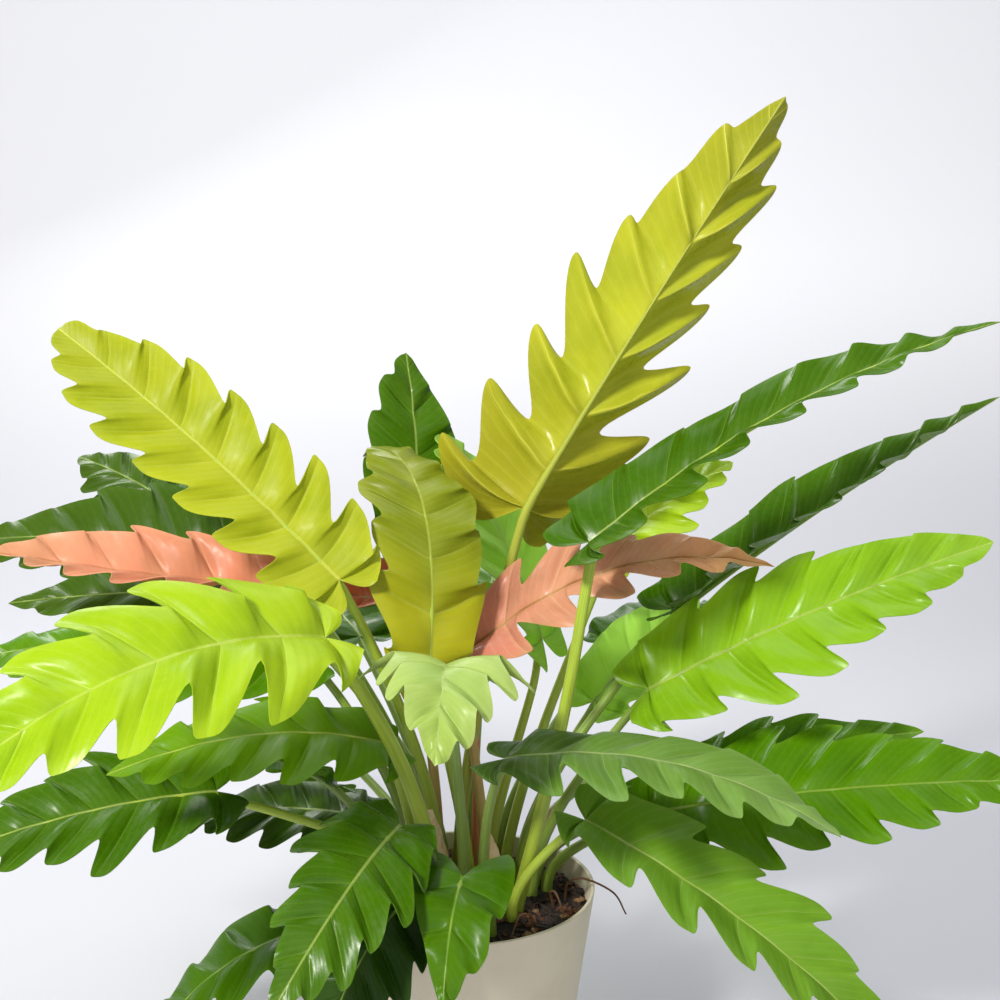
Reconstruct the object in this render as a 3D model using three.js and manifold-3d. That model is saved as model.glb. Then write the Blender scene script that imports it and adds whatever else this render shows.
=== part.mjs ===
// A potted philodendron: long toothed golden and green leaves on tall stalks, in a round plastic pot.
// Millimetres, +Z up. The origin is the middle of the pot's foot, and -Y is the front of the plant.
import * as THREE from "three";
import { mergeVertices } from "three/addons/utils/BufferGeometryUtils.js";
import Module from "manifold-3d";

const wasm = await Module();
wasm.setup();

const POT_HEIGHT = 190;
const POT_RIM_RADIUS = 105;
const POT_FOOT_RADIUS = 78;
const POT_WALL = 3;
const POT_FLOOR = 4;
const POT_RIM_ROUND = 1.5;
const POT_FOOT_CHAMFER = 3;
const SOIL_TOP = 176;
// the soil is this much lower at the pot's wall, and its lumps are this high
const SOIL_EDGE_DROP = 4;
const SOIL_LUMP = 3;
const SOIL_RINGS = [84, 64, 44, 24];
const GAP = 0.35;
const ROOT_DEPTH = 18;
// a stalk leaves the soil upright, and bends only this far above it
const COLLAR = 3;
const BLADE_THICKNESS = 0.9;
const RIB_DEPTH = 3.2;
const STALK_SIDES = 6;
const STALK_STEPS = 5;
// a stalk's thickness at the soil and at the blade, as shares of its middle thickness
const STALK_FLARE = 1.1;
const STALK_NECK = 0.7;
// how far a stalk keeps straight from the soil and into the blade, as shares of its span
const STALK_RISE = 0.32;
const STALK_REACH = 0.28;
// where a stalk ends inside its blade: the share of the midrib, the depth under it and the radius
const STALK_END_SHARE = 0.09;
const STALK_END_DEPTH = 1.5;
const STALK_END_RADIUS = 0.9;
// share of the leaf's edge, from its foot, whose veins all leave the foot of the blade
const FAN = 0.12;
// a side vein's angle to the midrib: added towards the foot, and again right at the foot, so that
// the first lobes point backwards
const LEAN_SPREAD = 42;
const LEAN_BACK = 50;
const LEAN_BACK_SHARE = 0.07;
// how far a side's lobes stand ahead of the other side's, as a share of one lobe
const STAGGER = 0.25;
const UNEVENNESS = 0.12;
// how deep the notch nearest the foot is, as a share of the next ones
const FIRST_NOTCH = 0.5;
// notches deepen from the foot of the blade to here, and from the same place on they fade to the tip
const NOTCHES_FROM = 0.1;
const NOTCHES_DEEP = 0.3;
const NOTCHES_FADED = 0.8;
const BELLY = 1.08;
const BELLY_SHARE = 0.35;
// how far a notch stands up and a lobe's point hangs down, at the foot of a blade
const RUFFLE = 4;
// where a lobe's point stands between one notch and the next
const LOBE_POINT = 0.62;
const LOBE_SHOULDER = 0.26;
// how far that point is drawn on towards the leaf's tip, as a share of the lobe's reach
const LOBE_HOOK = 0.18;

const COLOURS = {
  leaf_gold: "#b9b737",
  leaf_chartreuse: "#a3c82a",
  leaf_bright: "#74ab2c",
  leaf_green: "#4c8430",
  leaf_dark: "#2c5a34",
  leaf_salmon: "#d9906f",
  leaf_coral: "#c97b4f",
  sheath: "#c9a083",
  shoot: "#c44a45",
  root: "#6b4a35",
  soil: "#2b211c",
  pot: "#e6dfd0",
};

// What a leaf has where its own line below doesn't say.
const PLAIN_LEAF = {
  sway: 0,
  ear: 0.62,
  taper: 2.4,
  fade: 0.75,
  swell: 2,
  lean: 38,
  stalk: 4.2,
  bow: [0, 0, 0],
  lift: 0,
};

// Each leaf: where its stalk enters the soil (foot), the foot and tip of its blade (base, tip), how the
// blade is turned about its length (roll, degrees), bent out of its plane (arch, mm) and in it (sway, mm),
// its half width (half, mm), that width's share at the foot (ear), how blunt its tip is (taper), its lobes
// a side, how deep the notches are cut and how much less so at the tip (fade), how narrow they are (swell),
// the angle of its side veins (lean, degrees), how far its halves are folded up and curled down (degrees),
// and how thick its stalk is, how far it bows (bow, mm) and how far it rises first (lift, mm).
// A plain leaf has no point on the shoulders of its lobes.
const LEAVES = [
  { name: "leaf_gold_top", slot: "leaf_gold", foot: [-2, 12], base: [50, 28, 485], tip: [230, -20, 790],
    roll: -64, arch: 4, half: 80, ear: 1.05, taper: 2.6, lobes: 8, cut: 0.74, fade: 0.92, swell: 1.1,
    lean: 34, fold: 32, curl: 12, stalk: 4.8 },
  { name: "leaf_gold_left", slot: "leaf_gold", foot: [-14, -2], base: [-84, -60, 452],
    tip: [-290, 0, 625], roll: -48, arch: 8, sway: 3, half: 50, ear: 0.76, taper: 5, lobes: 9, cut: 0.62,
    fade: 0.8, swell: 2.4, lean: 44, fold: 15, curl: 8, stalk: 4.6, bow: [0, 20, 0] },
  { name: "leaf_olive", slot: "leaf_gold", foot: [8, -6], base: [-20, -45, 385], tip: [-66, 97, 518],
    roll: 5, arch: 60, half: 46, ear: 0.7, taper: 4, lobes: 7, cut: 0.3, lean: 40, fold: 8, curl: 15,
    stalk: 4.4 },
  { name: "leaf_salmon_left", slot: "leaf_salmon", foot: [-16, 14], base: [-50, 20, 415],
    tip: [-340, -30, 465], roll: -27, arch: -4, half: 48, taper: 4, lobes: 9, cut: 0.6, fade: 0.8,
    swell: 1.3, lean: 40, fold: 40, curl: 8 },
  { name: "leaf_coral_right", slot: "leaf_coral", foot: [22, 6], base: [8, 3, 378], tip: [240, 22, 440],
    roll: 38, arch: 54, half: 46, taper: 2, lobes: 7, cut: 0.75, fade: 0.6, fold: 32, curl: 25 },
  { name: "leaf_dark_high", slot: "leaf_dark", foot: [44, -16], base: [95, -60, 480], tip: [395, 0, 630],
    roll: 15, arch: 22, half: 42, ear: 1, lobes: 9, cut: 0.35, fold: 28, curl: 12, stalk: 5.2,
    bow: [22, -20, 0] },
  { name: "leaf_dark_mid", slot: "leaf_dark", foot: [46, 26], base: [172, 85, 388], tip: [420, 85, 560],
    roll: 12, arch: 4, half: 44, ear: 0.9, lobes: 9, cut: 0.35, fold: 40, curl: 10 },
  { name: "leaf_bright_right", slot: "leaf_bright", foot: [56, 8], base: [146, 20, 343],
    tip: [405, 20, 460], roll: 44, arch: 12, half: 58, ear: 0.66, taper: 3.2, lobes: 8, cut: 0.38,
    fade: 0.65, swell: 2.6, fold: 14, curl: 10 },
  { name: "leaf_front_right", slot: "leaf_dark", foot: [18, -26], base: [35, -98, 331],
    tip: [262, -172, 303], roll: 5, arch: 26, half: 60, lobes: 7, cut: 0.55, fold: 12, curl: 30 },
  { name: "leaf_right_mid", slot: "leaf_green", foot: [60, 32], base: [165, 60, 242], tip: [372, 70, 290],
    roll: 32, arch: 12, half: 43, lobes: 7, cut: 0.35, fold: 12, curl: 15 },
  { name: "leaf_right_low", slot: "leaf_green", foot: [68, 18], base: [150, 5, 248], tip: [455, -20, 284],
    roll: 36, arch: 12, half: 64, lobes: 9, cut: 0.4, swell: 2.6, fold: 14, curl: 15 },
  { name: "leaf_low_right", slot: "leaf_bright", foot: [40, -34], base: [95, -40, 260],
    tip: [322, -140, 112], roll: 18, arch: 18, half: 60, ear: 0.6, taper: 2.6, lobes: 7, cut: 0.52,
    fade: 0.5, swell: 2, fold: 26, curl: 12 },
  { name: "leaf_chartreuse", slot: "leaf_chartreuse", foot: [-18, -30], base: [-85, -160, 440],
    tip: [-305, -320, 388], roll: -32, arch: 40, sway: 6, half: 74, ear: 0.5, lobes: 7, cut: 0.56,
    fade: 0.6, swell: 3, lean: 40, fold: 20, curl: 35, stalk: 6 },
  { name: "leaf_front_small", slot: "leaf_chartreuse", foot: [4, -24], base: [-5, -130, 410],
    tip: [-10, -240, 380], roll: -4, arch: 26, half: 58, ear: 1.15, taper: 1.5, lobes: 5, cut: 0.5,
    fade: 0.9, swell: 1.4, fold: 16, curl: 35 },
  { name: "leaf_dark_back", slot: "leaf_dark", foot: [-22, 42], base: [-160, 120, 430],
    tip: [-405, 140, 430], roll: -40, arch: 12, half: 60, lobes: 7, cut: 0.35, fold: 12, curl: 15 },
  { name: "leaf_dark_far", slot: "leaf_dark", foot: [-14, 58], base: [-195, 160, 420],
    tip: [-335, 240, 480], roll: -30, arch: 14, half: 52, lobes: 8, cut: 0.6, fold: 5, curl: 30 },
  { name: "leaf_dark_side", slot: "leaf_dark", foot: [-28, 26], base: [-125, 60, 410],
    tip: [-355, 60, 400], roll: -40, arch: 8, half: 46, lobes: 7, cut: 0.4, fold: 8, curl: 15,
    plain: true },
  { name: "leaf_edge_left", slot: "leaf_green", foot: [-32, 8], base: [-110, -5, 375],
    tip: [-390, -20, 375], roll: -25, arch: 20, half: 52, lobes: 8, cut: 0.5, fold: 8, curl: 30,
    plain: true },
  { name: "leaf_green_low", slot: "leaf_green", foot: [-30, -16], base: [-55, -42, 322],
    tip: [-240, -140, 335], roll: -22, arch: 22, half: 50, lobes: 7, cut: 0.3, lean: 40, fold: 8,
    curl: 20 },
  { name: "leaf_pale", slot: "leaf_green", foot: [-44, -12], base: [-95, -5, 275], tip: [-235, -5, 300],
    roll: 30, arch: 14, half: 42, lobes: 8, cut: 0.3, fold: 10, curl: 20, plain: true },
  { name: "leaf_low_dark", slot: "leaf_dark", foot: [4, -50], base: [-180, -45, 285],
    tip: [-365, -120, 265], roll: -28, arch: 12, half: 58, lobes: 7, cut: 0.5, fold: 14, curl: 20,
    bow: [0, -8, 0] },
  { name: "leaf_front_left", slot: "leaf_dark", foot: [-30, -70], base: [-40, -110, 285],
    tip: [-115, -260, 220], roll: -25, arch: 26, half: 54, ear: 0.62, lobes: 7, cut: 0.45, fade: 0.6,
    swell: 1.8, fold: 8, curl: 16 },
  { name: "leaf_front_low", slot: "leaf_dark", foot: [-10, -76], base: [-30, -118, 238],
    tip: [-90, -185, 155], roll: -20, arch: 22, half: 48, ear: 0.5, lobes: 6, cut: 0.25, fold: 8,
    curl: 16 },
  { name: "leaf_front_centre", slot: "leaf_bright", foot: [24, -58], base: [5, -136, 258],
    tip: [-7, -222, 200], roll: 0, arch: 18, half: 41, ear: 1, taper: 1.35, lobes: 3, cut: 0.16,
    fade: 0.95, swell: 2, fold: 14, curl: 16 },
  { name: "leaf_bottom_left", slot: "leaf_green", foot: [-58, -30], base: [-120, -60, 180],
    tip: [-230, -60, 90], roll: -20, arch: 16, half: 45, lobes: 5, cut: 0.25, fold: 8, curl: 16,
    lift: 60 },
  { name: "leaf_back_top", slot: "leaf_dark", foot: [4, 44], base: [-35, 120, 430], tip: [-45, 150, 585],
    roll: 5, arch: 10, half: 56, taper: 1.8, lobes: 5, cut: 0.18, fold: 8, curl: 20 },
  { name: "leaf_back_light", slot: "leaf_bright", foot: [22, 34], base: [65, 80, 365],
    tip: [-15, 110, 525], roll: 0, arch: 8, half: 76, ear: 0.52, lobes: 7, cut: 0.3, fold: 8, curl: 10 },
  { name: "leaf_back_yellow", slot: "leaf_chartreuse", foot: [34, 46], base: [115, 120, 415],
    tip: [225, 170, 490], roll: 20, arch: 12, half: 42, lobes: 6, cut: 0.35, fold: 14, curl: 15,
    bow: [12, 24, 0], plain: true },
  { name: "leaf_back_centre", slot: "leaf_bright", foot: [48, 56], base: [108, 92, 308],
    tip: [200, 180, 370], roll: 20, arch: 10, half: 44, lobes: 6, cut: 0.3, fold: 14, curl: 15,
    plain: true },
  { name: "leaf_back_low", slot: "leaf_green", foot: [-48, 20], base: [-75, 35, 232],
    tip: [-230, 60, 220], roll: -20, arch: 10, half: 44, lobes: 7, cut: 0.35, fold: 8, curl: 20,
    plain: true },
  { name: "leaf_rear_left", slot: "leaf_dark", foot: [-20, 72], base: [-90, 200, 330],
    tip: [-190, 400, 300], roll: 0, arch: 24, half: 55, lobes: 7, cut: 0.4, fold: 10, curl: 20,
    plain: true },
  { name: "leaf_rear", slot: "leaf_green", foot: [8, 66], base: [20, 210, 360], tip: [40, 420, 310],
    roll: 0, arch: 26, half: 55, lobes: 7, cut: 0.4, fold: 10, curl: 20, plain: true },
  { name: "leaf_rear_right", slot: "leaf_dark", foot: [30, 66], base: [130, 190, 330],
    tip: [270, 370, 290], roll: 0, arch: 24, half: 55, lobes: 7, cut: 0.4, fold: 10, curl: 20,
    plain: true },
  { name: "leaf_rear_low_left", slot: "leaf_green", foot: [-38, 58], base: [-110, 170, 240],
    tip: [-230, 300, 170], roll: 0, arch: 22, half: 50, lobes: 6, cut: 0.35, fold: 10, curl: 20,
    plain: true },
  { name: "leaf_rear_low_right", slot: "leaf_green", foot: [54, 70], base: [130, 160, 230],
    tip: [260, 290, 150], roll: 0, arch: 22, half: 50, lobes: 6, cut: 0.35, fold: 10, curl: 20,
    plain: true },
];

function scatter(seed, index) {
  const value = Math.sin(seed * 12.9898 + index * 78.233) * 43758.5453;
  return value - Math.floor(value);
}

// The midrib: a bowed curve from the foot of the blade to its tip, with the leaf's up and right.
function makeMidrib(leaf) {
  const base = new THREE.Vector3(...leaf.base);
  const tip = new THREE.Vector3(...leaf.tip);
  const along = tip.clone().sub(base).normalize();
  const up = new THREE.Vector3(0, 0, 1).addScaledVector(along, -along.z).normalize();
  const side = along.clone().cross(up);
  const roll = THREE.MathUtils.degToRad(leaf.roll);
  const normal = up.clone().multiplyScalar(Math.cos(roll)).addScaledVector(side, Math.sin(roll));
  const across = side.multiplyScalar(Math.cos(roll)).addScaledVector(up, -Math.sin(roll));
  const middle = base.clone().add(tip).multiplyScalar(0.5).addScaledVector(normal, 2 * leaf.arch);
  middle.addScaledVector(across, 2 * leaf.sway);
  const curve = new THREE.QuadraticBezierCurve3(base, middle, tip);
  return { curve, normal, length: curve.getLength() };
}

// Position, direction, up and right on the midrib at the share s of its curve, past its ends too.
function midribFrame(rib, s) {
  const { v0, v1, v2 } = rib.curve;
  const position = v0.clone().multiplyScalar((1 - s) ** 2);
  position.addScaledVector(v1, 2 * s * (1 - s)).addScaledVector(v2, s * s);
  const direction = v1.clone().sub(v0).multiplyScalar(1 - s);
  direction.addScaledVector(v2, s).addScaledVector(v1, -s).normalize();
  const up = rib.normal.clone().addScaledVector(direction, -rib.normal.dot(direction)).normalize();
  return { position, direction, up, right: direction.clone().cross(up) };
}

// Share along the midrib where the vein to the edge's share w leaves it.
function veinRoot(w) {
  return Math.max(0, (w - FAN) / (1 - FAN));
}

// A point on the blade's edge: side is 1 or -1, and w runs from the foot of the blade to its tip.
function edgePoint(leaf, rib, side, w) {
  const u = Math.min(leaf.lobes * w, leaf.lobes - 1e-9);
  const lobe = Math.floor(u);
  const phase = u - lobe;
  const toPoint = phase < LOBE_POINT ? phase / LOBE_POINT : (1 - phase) / (1 - LOBE_POINT);
  const notch = (0.5 + 0.5 * Math.cos(Math.PI * toPoint)) ** leaf.swell;
  const uneven = 2 * scatter(leaf.seed, 2 * lobe + (side > 0 ? 1 : 0)) - 1;
  const taper = (1 - w ** leaf.taper) ** 0.95;
  const widening = THREE.MathUtils.smoothstep(w, 0, BELLY_SHARE);
  const outline = taper * THREE.MathUtils.lerp(leaf.ear, BELLY, widening);
  const deepening = THREE.MathUtils.smoothstep(w, NOTCHES_FROM, NOTCHES_DEEP);
  const first = THREE.MathUtils.lerp(FIRST_NOTCH, 1, deepening);
  const faded = leaf.fade * THREE.MathUtils.smoothstep(w, NOTCHES_FROM, NOTCHES_FADED);
  const depth = leaf.cut * first * (1 - faded);
  const reach = leaf.half * outline * (1 - depth * notch) * (1 + UNEVENNESS * uneven * (1 - notch));
  const back = LEAN_BACK * Math.exp(-w / LEAN_BACK_SHARE);
  const lean = THREE.MathUtils.degToRad(leaf.lean + LEAN_SPREAD * (1 - w) + back);
  const stagger = -side * STAGGER * (rib.length / leaf.lobes) * Math.sin(Math.PI * w);
  const hook = LOBE_HOOK * reach * (1 - notch);
  const forward = rib.length * veinRoot(w) + reach * Math.cos(lean) + hook + stagger;
  const out = reach * Math.sin(lean);
  const { position, up, right } = midribFrame(rib, forward / rib.length);
  const fold = THREE.MathUtils.degToRad(leaf.fold);
  const curve = THREE.MathUtils.degToRad(leaf.curl) / leaf.half;
  const across = (Math.sin(fold) - Math.sin(fold - curve * out)) / curve;
  const ruffle = RUFFLE * (2 * notch - 1) * (1 - 0.6 * w);
  const rise = (Math.cos(fold - curve * out) - Math.cos(fold)) / curve + ruffle;
  const point = position.addScaledVector(right, side * across).addScaledVector(up, rise);
  const face = up.clone().multiplyScalar(Math.cos(fold)).addScaledVector(right, -side * Math.sin(fold));
  return { point, under: point.clone().addScaledVector(face, -BLADE_THICKNESS) };
}

function solidOf(positions, triangles) {
  const mesh = new wasm.Mesh({
    numProp: 3,
    vertProperties: new Float32Array(positions),
    triVerts: new Uint32Array(triangles),
  });
  return new wasm.Manifold(mesh);
}

// The blade: two ruled halves, split alike above and below, thick at the midrib and thin at the edge.
function makeBlade(leaf, rib) {
  const shares = [];
  for (let lobe = 0; lobe < leaf.lobes; lobe += 1) {
    for (const phase of leaf.plain ? [0, LOBE_POINT] : [0, LOBE_SHOULDER, LOBE_POINT]) {
      shares.push((lobe + phase) / leaf.lobes);
    }
  }
  const positions = [];
  const add = (point) => positions.push(point.x, point.y, point.z) / 3 - 1;
  const addPair = (point, under) => ({ top: add(point), low: add(under) });
  const middle = [];
  for (const w of shares) {
    const s = veinRoot(w);
    if (s === 0 && middle.length > 0) {
      middle.push(middle[0]);
      continue;
    }
    const { position, up } = midribFrame(rib, s);
    const depth = THREE.MathUtils.lerp(RIB_DEPTH, BLADE_THICKNESS, s);
    middle.push(addPair(position, position.clone().addScaledVector(up, -depth)));
  }
  const end = midribFrame(rib, 1);
  const tip = addPair(end.position, end.position.clone().addScaledVector(end.up, -BLADE_THICKNESS));
  middle.push(tip);
  const triangles = [];
  const face = (a, b, c, flip) => {
    if (a === b || b === c || c === a) {
      return;
    }
    triangles.push(...(flip ? [a, c, b] : [a, b, c]));
  };
  for (const side of [1, -1]) {
    const edge = shares.map((w) => {
      const { point, under } = edgePoint(leaf, rib, side, w);
      return addPair(point, under);
    });
    edge.push(tip);
    const turned = side > 0;
    for (let i = 0; i < edge.length - 1; i += 1) {
      const [a, b, c, d] = [middle[i], middle[i + 1], edge[i + 1], edge[i]];
      face(a.top, b.top, c.top, turned);
      face(a.top, c.top, d.top, turned);
      face(a.low, b.low, c.low, !turned);
      face(a.low, c.low, d.low, !turned);
      face(d.top, c.top, c.low, turned);
      face(d.top, c.low, d.low, turned);
    }
    face(middle[0].top, edge[0].top, edge[0].low, turned);
    face(middle[0].top, edge[0].low, middle[0].low, turned);
  }
  return solidOf(positions, triangles);
}

// The stalk: rises out of the soil, then leans to the foot of the blade and runs on as its midrib.
function makeStalkPath(leaf, rib) {
  const foot = new THREE.Vector3(leaf.foot[0], leaf.foot[1], SOIL_TOP + COLLAR);
  const base = new THREE.Vector3(...leaf.base);
  const span = base.distanceTo(foot);
  const start = midribFrame(rib, 0);
  const leave = base.clone().sub(foot).normalize().addScaledVector(start.direction, 0.3).normalize();
  const bow = new THREE.Vector3(...leaf.bow);
  const rise = foot.clone().setZ(foot.z + STALK_RISE * span).add(bow);
  const reach = base.clone().addScaledVector(leave, -STALK_REACH * span).add(bow);
  reach.z += leaf.lift;
  return new THREE.CubicBezierCurve3(foot, rise, reach, base);
}

// A closed sweep of rings around the given stations, each a centre, a direction and a radius.
function sweep(stations, across, sides) {
  const positions = [];
  const triangles = [];
  for (const { centre, direction, radius } of stations) {
    const first = across.clone().addScaledVector(direction, -across.dot(direction)).normalize();
    const second = direction.clone().cross(first);
    for (let i = 0; i < sides; i += 1) {
      const turn = (2 * Math.PI * i) / sides;
      const point = centre.clone().addScaledVector(first, radius * Math.cos(turn));
      point.addScaledVector(second, radius * Math.sin(turn));
      positions.push(point.x, point.y, point.z);
    }
  }
  for (let ring = 0; ring < stations.length - 1; ring += 1) {
    for (let i = 0; i < sides; i += 1) {
      const a = ring * sides + i;
      const b = ring * sides + ((i + 1) % sides);
      triangles.push(a, b, b + sides, a, b + sides, a + sides);
    }
  }
  const last = (stations.length - 1) * sides;
  for (let i = 1; i < sides - 1; i += 1) {
    triangles.push(0, i + 1, i, last, last + i, last + i + 1);
  }
  return solidOf(positions, triangles);
}

function levelAcross(from, to) {
  const across = new THREE.Vector3(0, 0, 1).cross(to.clone().sub(from));
  return across.length() > 1 ? across.normalize() : new THREE.Vector3(1, 0, 0);
}

function makeStalk(leaf, rib) {
  const path = makeStalkPath(leaf, rib);
  const centre = path.v0.clone().setZ(SOIL_TOP - ROOT_DEPTH);
  const upright = new THREE.Vector3(0, 0, 1);
  const stations = [{ centre, direction: upright, radius: STALK_FLARE * leaf.stalk }];
  for (let i = 0; i <= STALK_STEPS; i += 1) {
    const p = i / STALK_STEPS;
    const size = leaf.stalk * THREE.MathUtils.lerp(STALK_FLARE, STALK_NECK, p);
    const middle = path.getPoint(p);
    if (i === STALK_STEPS) {
      middle.addScaledVector(midribFrame(rib, 0).up, -0.8 * size);
    }
    stations.push({ centre: middle, direction: path.getTangent(p), radius: size });
  }
  const inside = midribFrame(rib, STALK_END_SHARE);
  const end = inside.position.addScaledVector(inside.up, -STALK_END_DEPTH);
  stations.push({ centre: end, direction: inside.direction, radius: STALK_END_RADIUS });
  return sweep(stations, levelAcross(path.v0, path.v3), STALK_SIDES);
}

// The hole that a stalk stands in: its own shape, a little wider, up to just over the soil.
function makeHole(leaf, rib) {
  const path = makeStalkPath(leaf, rib);
  const radius = STALK_FLARE * leaf.stalk + GAP / Math.cos(Math.PI / STALK_SIDES);
  const direction = new THREE.Vector3(0, 0, 1);
  const low = path.v0.clone().setZ(SOIL_TOP - ROOT_DEPTH - GAP);
  const high = path.v0.clone().setZ(SOIL_TOP + 2 * COLLAR);
  const stations = [{ centre: low, direction, radius }, { centre: high, direction, radius }];
  return sweep(stations, levelAcross(path.v0, path.v3), STALK_SIDES);
}

function solidOfGeometry(geometry) {
  const bare = geometry.index ? geometry.toNonIndexed() : geometry.clone();
  bare.deleteAttribute("normal");
  bare.deleteAttribute("uv");
  const merged = mergeVertices(bare, 1e-4);
  return solidOf(merged.getAttribute("position").array, merged.index.array);
}

function geometryOfSolid(solid) {
  const mesh = solid.getMesh();
  const geometry = new THREE.BufferGeometry();
  geometry.setAttribute("position", new THREE.BufferAttribute(mesh.vertProperties, 3));
  geometry.setIndex(new THREE.BufferAttribute(mesh.triVerts, 1));
  geometry.computeVertexNormals();
  return geometry;
}

// A solid turned about the Z axis from radius and height pairs that start and end on the axis.
function turned(profile, segments) {
  const points = profile.map(([radius, height]) => new THREE.Vector2(radius, height));
  const geometry = new THREE.LatheGeometry(points, segments);
  geometry.rotateX(Math.PI / 2);
  return geometry;
}

function potRadius(height) {
  return THREE.MathUtils.lerp(POT_FOOT_RADIUS, POT_RIM_RADIUS, height / POT_HEIGHT);
}

const root = new THREE.Group();

function addPiece(name, slot, geometry, roughness) {
  const material = new THREE.MeshStandardMaterial({ color: COLOURS[slot], roughness, metalness: 0 });
  const mesh = new THREE.Mesh(geometry, material);
  mesh.name = name;
  root.add(mesh);
}

const potProfile = [
  [0, 0],
  [POT_FOOT_RADIUS - POT_FOOT_CHAMFER, 0],
  [POT_FOOT_RADIUS, POT_FOOT_CHAMFER],
  [POT_RIM_RADIUS - 0.2 * POT_RIM_ROUND, POT_HEIGHT - 0.8 * POT_RIM_ROUND],
  [POT_RIM_RADIUS - POT_RIM_ROUND, POT_HEIGHT],
  [POT_RIM_RADIUS - POT_WALL, POT_HEIGHT - 1],
  [potRadius(POT_FLOOR) - POT_WALL, POT_FLOOR],
  [0, POT_FLOOR],
];
addPiece("pot", "pot", turned(potProfile, 40), 0.55);

// Loose potting mix: a turned block with a lumpy top, then a hole for each stalk.
function makeSoil() {
  const inside = (height) => potRadius(height) - POT_WALL - GAP;
  const low = POT_FLOOR + GAP;
  const segments = 30;
  const positions = [0, 0, low];
  const triangles = [];
  const edge = SOIL_TOP - SOIL_EDGE_DROP;
  const radii = [inside(low), inside(edge), ...SOIL_RINGS];
  const heights = [low, edge, ...SOIL_RINGS.map(() => SOIL_TOP)];
  radii.forEach((radius, ring) => {
    for (let i = 0; i < segments; i += 1) {
      const turn = (2 * Math.PI * (i + (ring % 2) * 0.5)) / segments;
      const lump = ring < 2 ? 0 : SOIL_LUMP * (scatter(ring + 3, i) - 0.5);
      positions.push(radius * Math.cos(turn), radius * Math.sin(turn), heights[ring] + lump);
    }
  });
  const top = positions.length / 3;
  positions.push(0, 0, SOIL_TOP + 1);
  for (let i = 0; i < segments; i += 1) {
    const next = (i + 1) % segments;
    triangles.push(0, 1 + next, 1 + i);
    for (let ring = 0; ring < radii.length - 1; ring += 1) {
      const [a, b] = [1 + ring * segments + i, 1 + ring * segments + next];
      triangles.push(a, b, b + segments, a, b + segments, a + segments);
    }
    const last = 1 + (radii.length - 1) * segments;
    triangles.push(last + i, last + next, top);
  }
  return solidOf(positions, triangles);
}

// Thin round pieces that stand in the soil: the red new shoot and a few brown roots above ground.
// Each has the points of its middle line, from the soil up, and its radius at both ends.
const SPEARS = [
  { name: "new_shoot", slot: "shoot", radius: [3.6, 0.9],
    line: [[12, 24], [12, 26, 230], [13, 26, 275], [14, 26, 318]] },
  { name: "root_right", slot: "root", radius: [1.5, 0.9],
    line: [[82, 2], [84, -2, 192], [96, -12, 200], [118, -22, 193], [128, -24, 176]] },
  { name: "root_middle", slot: "root", radius: [1.6, 1],
    line: [[72, -12], [70, -16, 190], [74, -26, 194], [80, -36, 181]] },
  { name: "root_front", slot: "root", radius: [1.6, 1],
    line: [[56, -48], [54, -52, 188], [46, -60, 192], [40, -70, 181]] },
];

function makeSpear(spear) {
  const [[x, y], ...rest] = spear.line;
  const points = rest.map((point) => new THREE.Vector3(...point));
  const collar = new THREE.Vector3(x, y, SOIL_TOP + COLLAR);
  const path = new THREE.CatmullRomCurve3([collar, ...points]);
  const upright = new THREE.Vector3(0, 0, 1);
  const buried = new THREE.Vector3(x, y, SOIL_TOP - ROOT_DEPTH);
  const stations = [{ centre: buried, direction: upright, radius: spear.radius[0] }];
  const steps = 3 * points.length;
  for (let i = 0; i <= steps; i += 1) {
    const radius = THREE.MathUtils.lerp(spear.radius[0], spear.radius[1], (i / steps) ** 1.5);
    const direction = i === 0 ? upright : path.getTangent(i / steps);
    stations.push({ centre: path.getPoint(i / steps), direction, radius });
  }
  return sweep(stations, levelAcross(collar, points.at(-1)), STALK_SIDES);
}

function makeSpearHole(spear) {
  const [x, y] = spear.line[0];
  const direction = new THREE.Vector3(0, 0, 1);
  const radius = spear.radius[0] + GAP / Math.cos(Math.PI / STALK_SIDES);
  const low = new THREE.Vector3(x, y, SOIL_TOP - ROOT_DEPTH - GAP);
  const high = new THREE.Vector3(x, y, SOIL_TOP + 2 * COLLAR);
  const across = levelAcross(high, new THREE.Vector3(...spear.line.at(-1)));
  const stations = [{ centre: low, direction, radius }, { centre: high, direction, radius }];
  return sweep(stations, across, STALK_SIDES);
}

// Papery tan sheaths left where a leaf came out: pointed strips, rolled about their length.
const SHEATHS = [
  { name: "sheath_left", foot: [-36, -34], top: [-80, -46, 246], facing: [0.5, -0.85, 0], width: 15 },
  { name: "sheath_front", foot: [-12, -12], top: [-22, -24, 262], facing: [0, -1, 0], width: 15 },
  { name: "sheath_middle", foot: [28, -8], top: [22, -14, 238], facing: [0.2, -1, 0], width: 16 },
  { name: "sheath_right", foot: [56, 44], top: [76, 48, 236], facing: [0.4, -1, 0], width: 13 },
];
const SHEATH_THICKNESS = 1;

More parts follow.
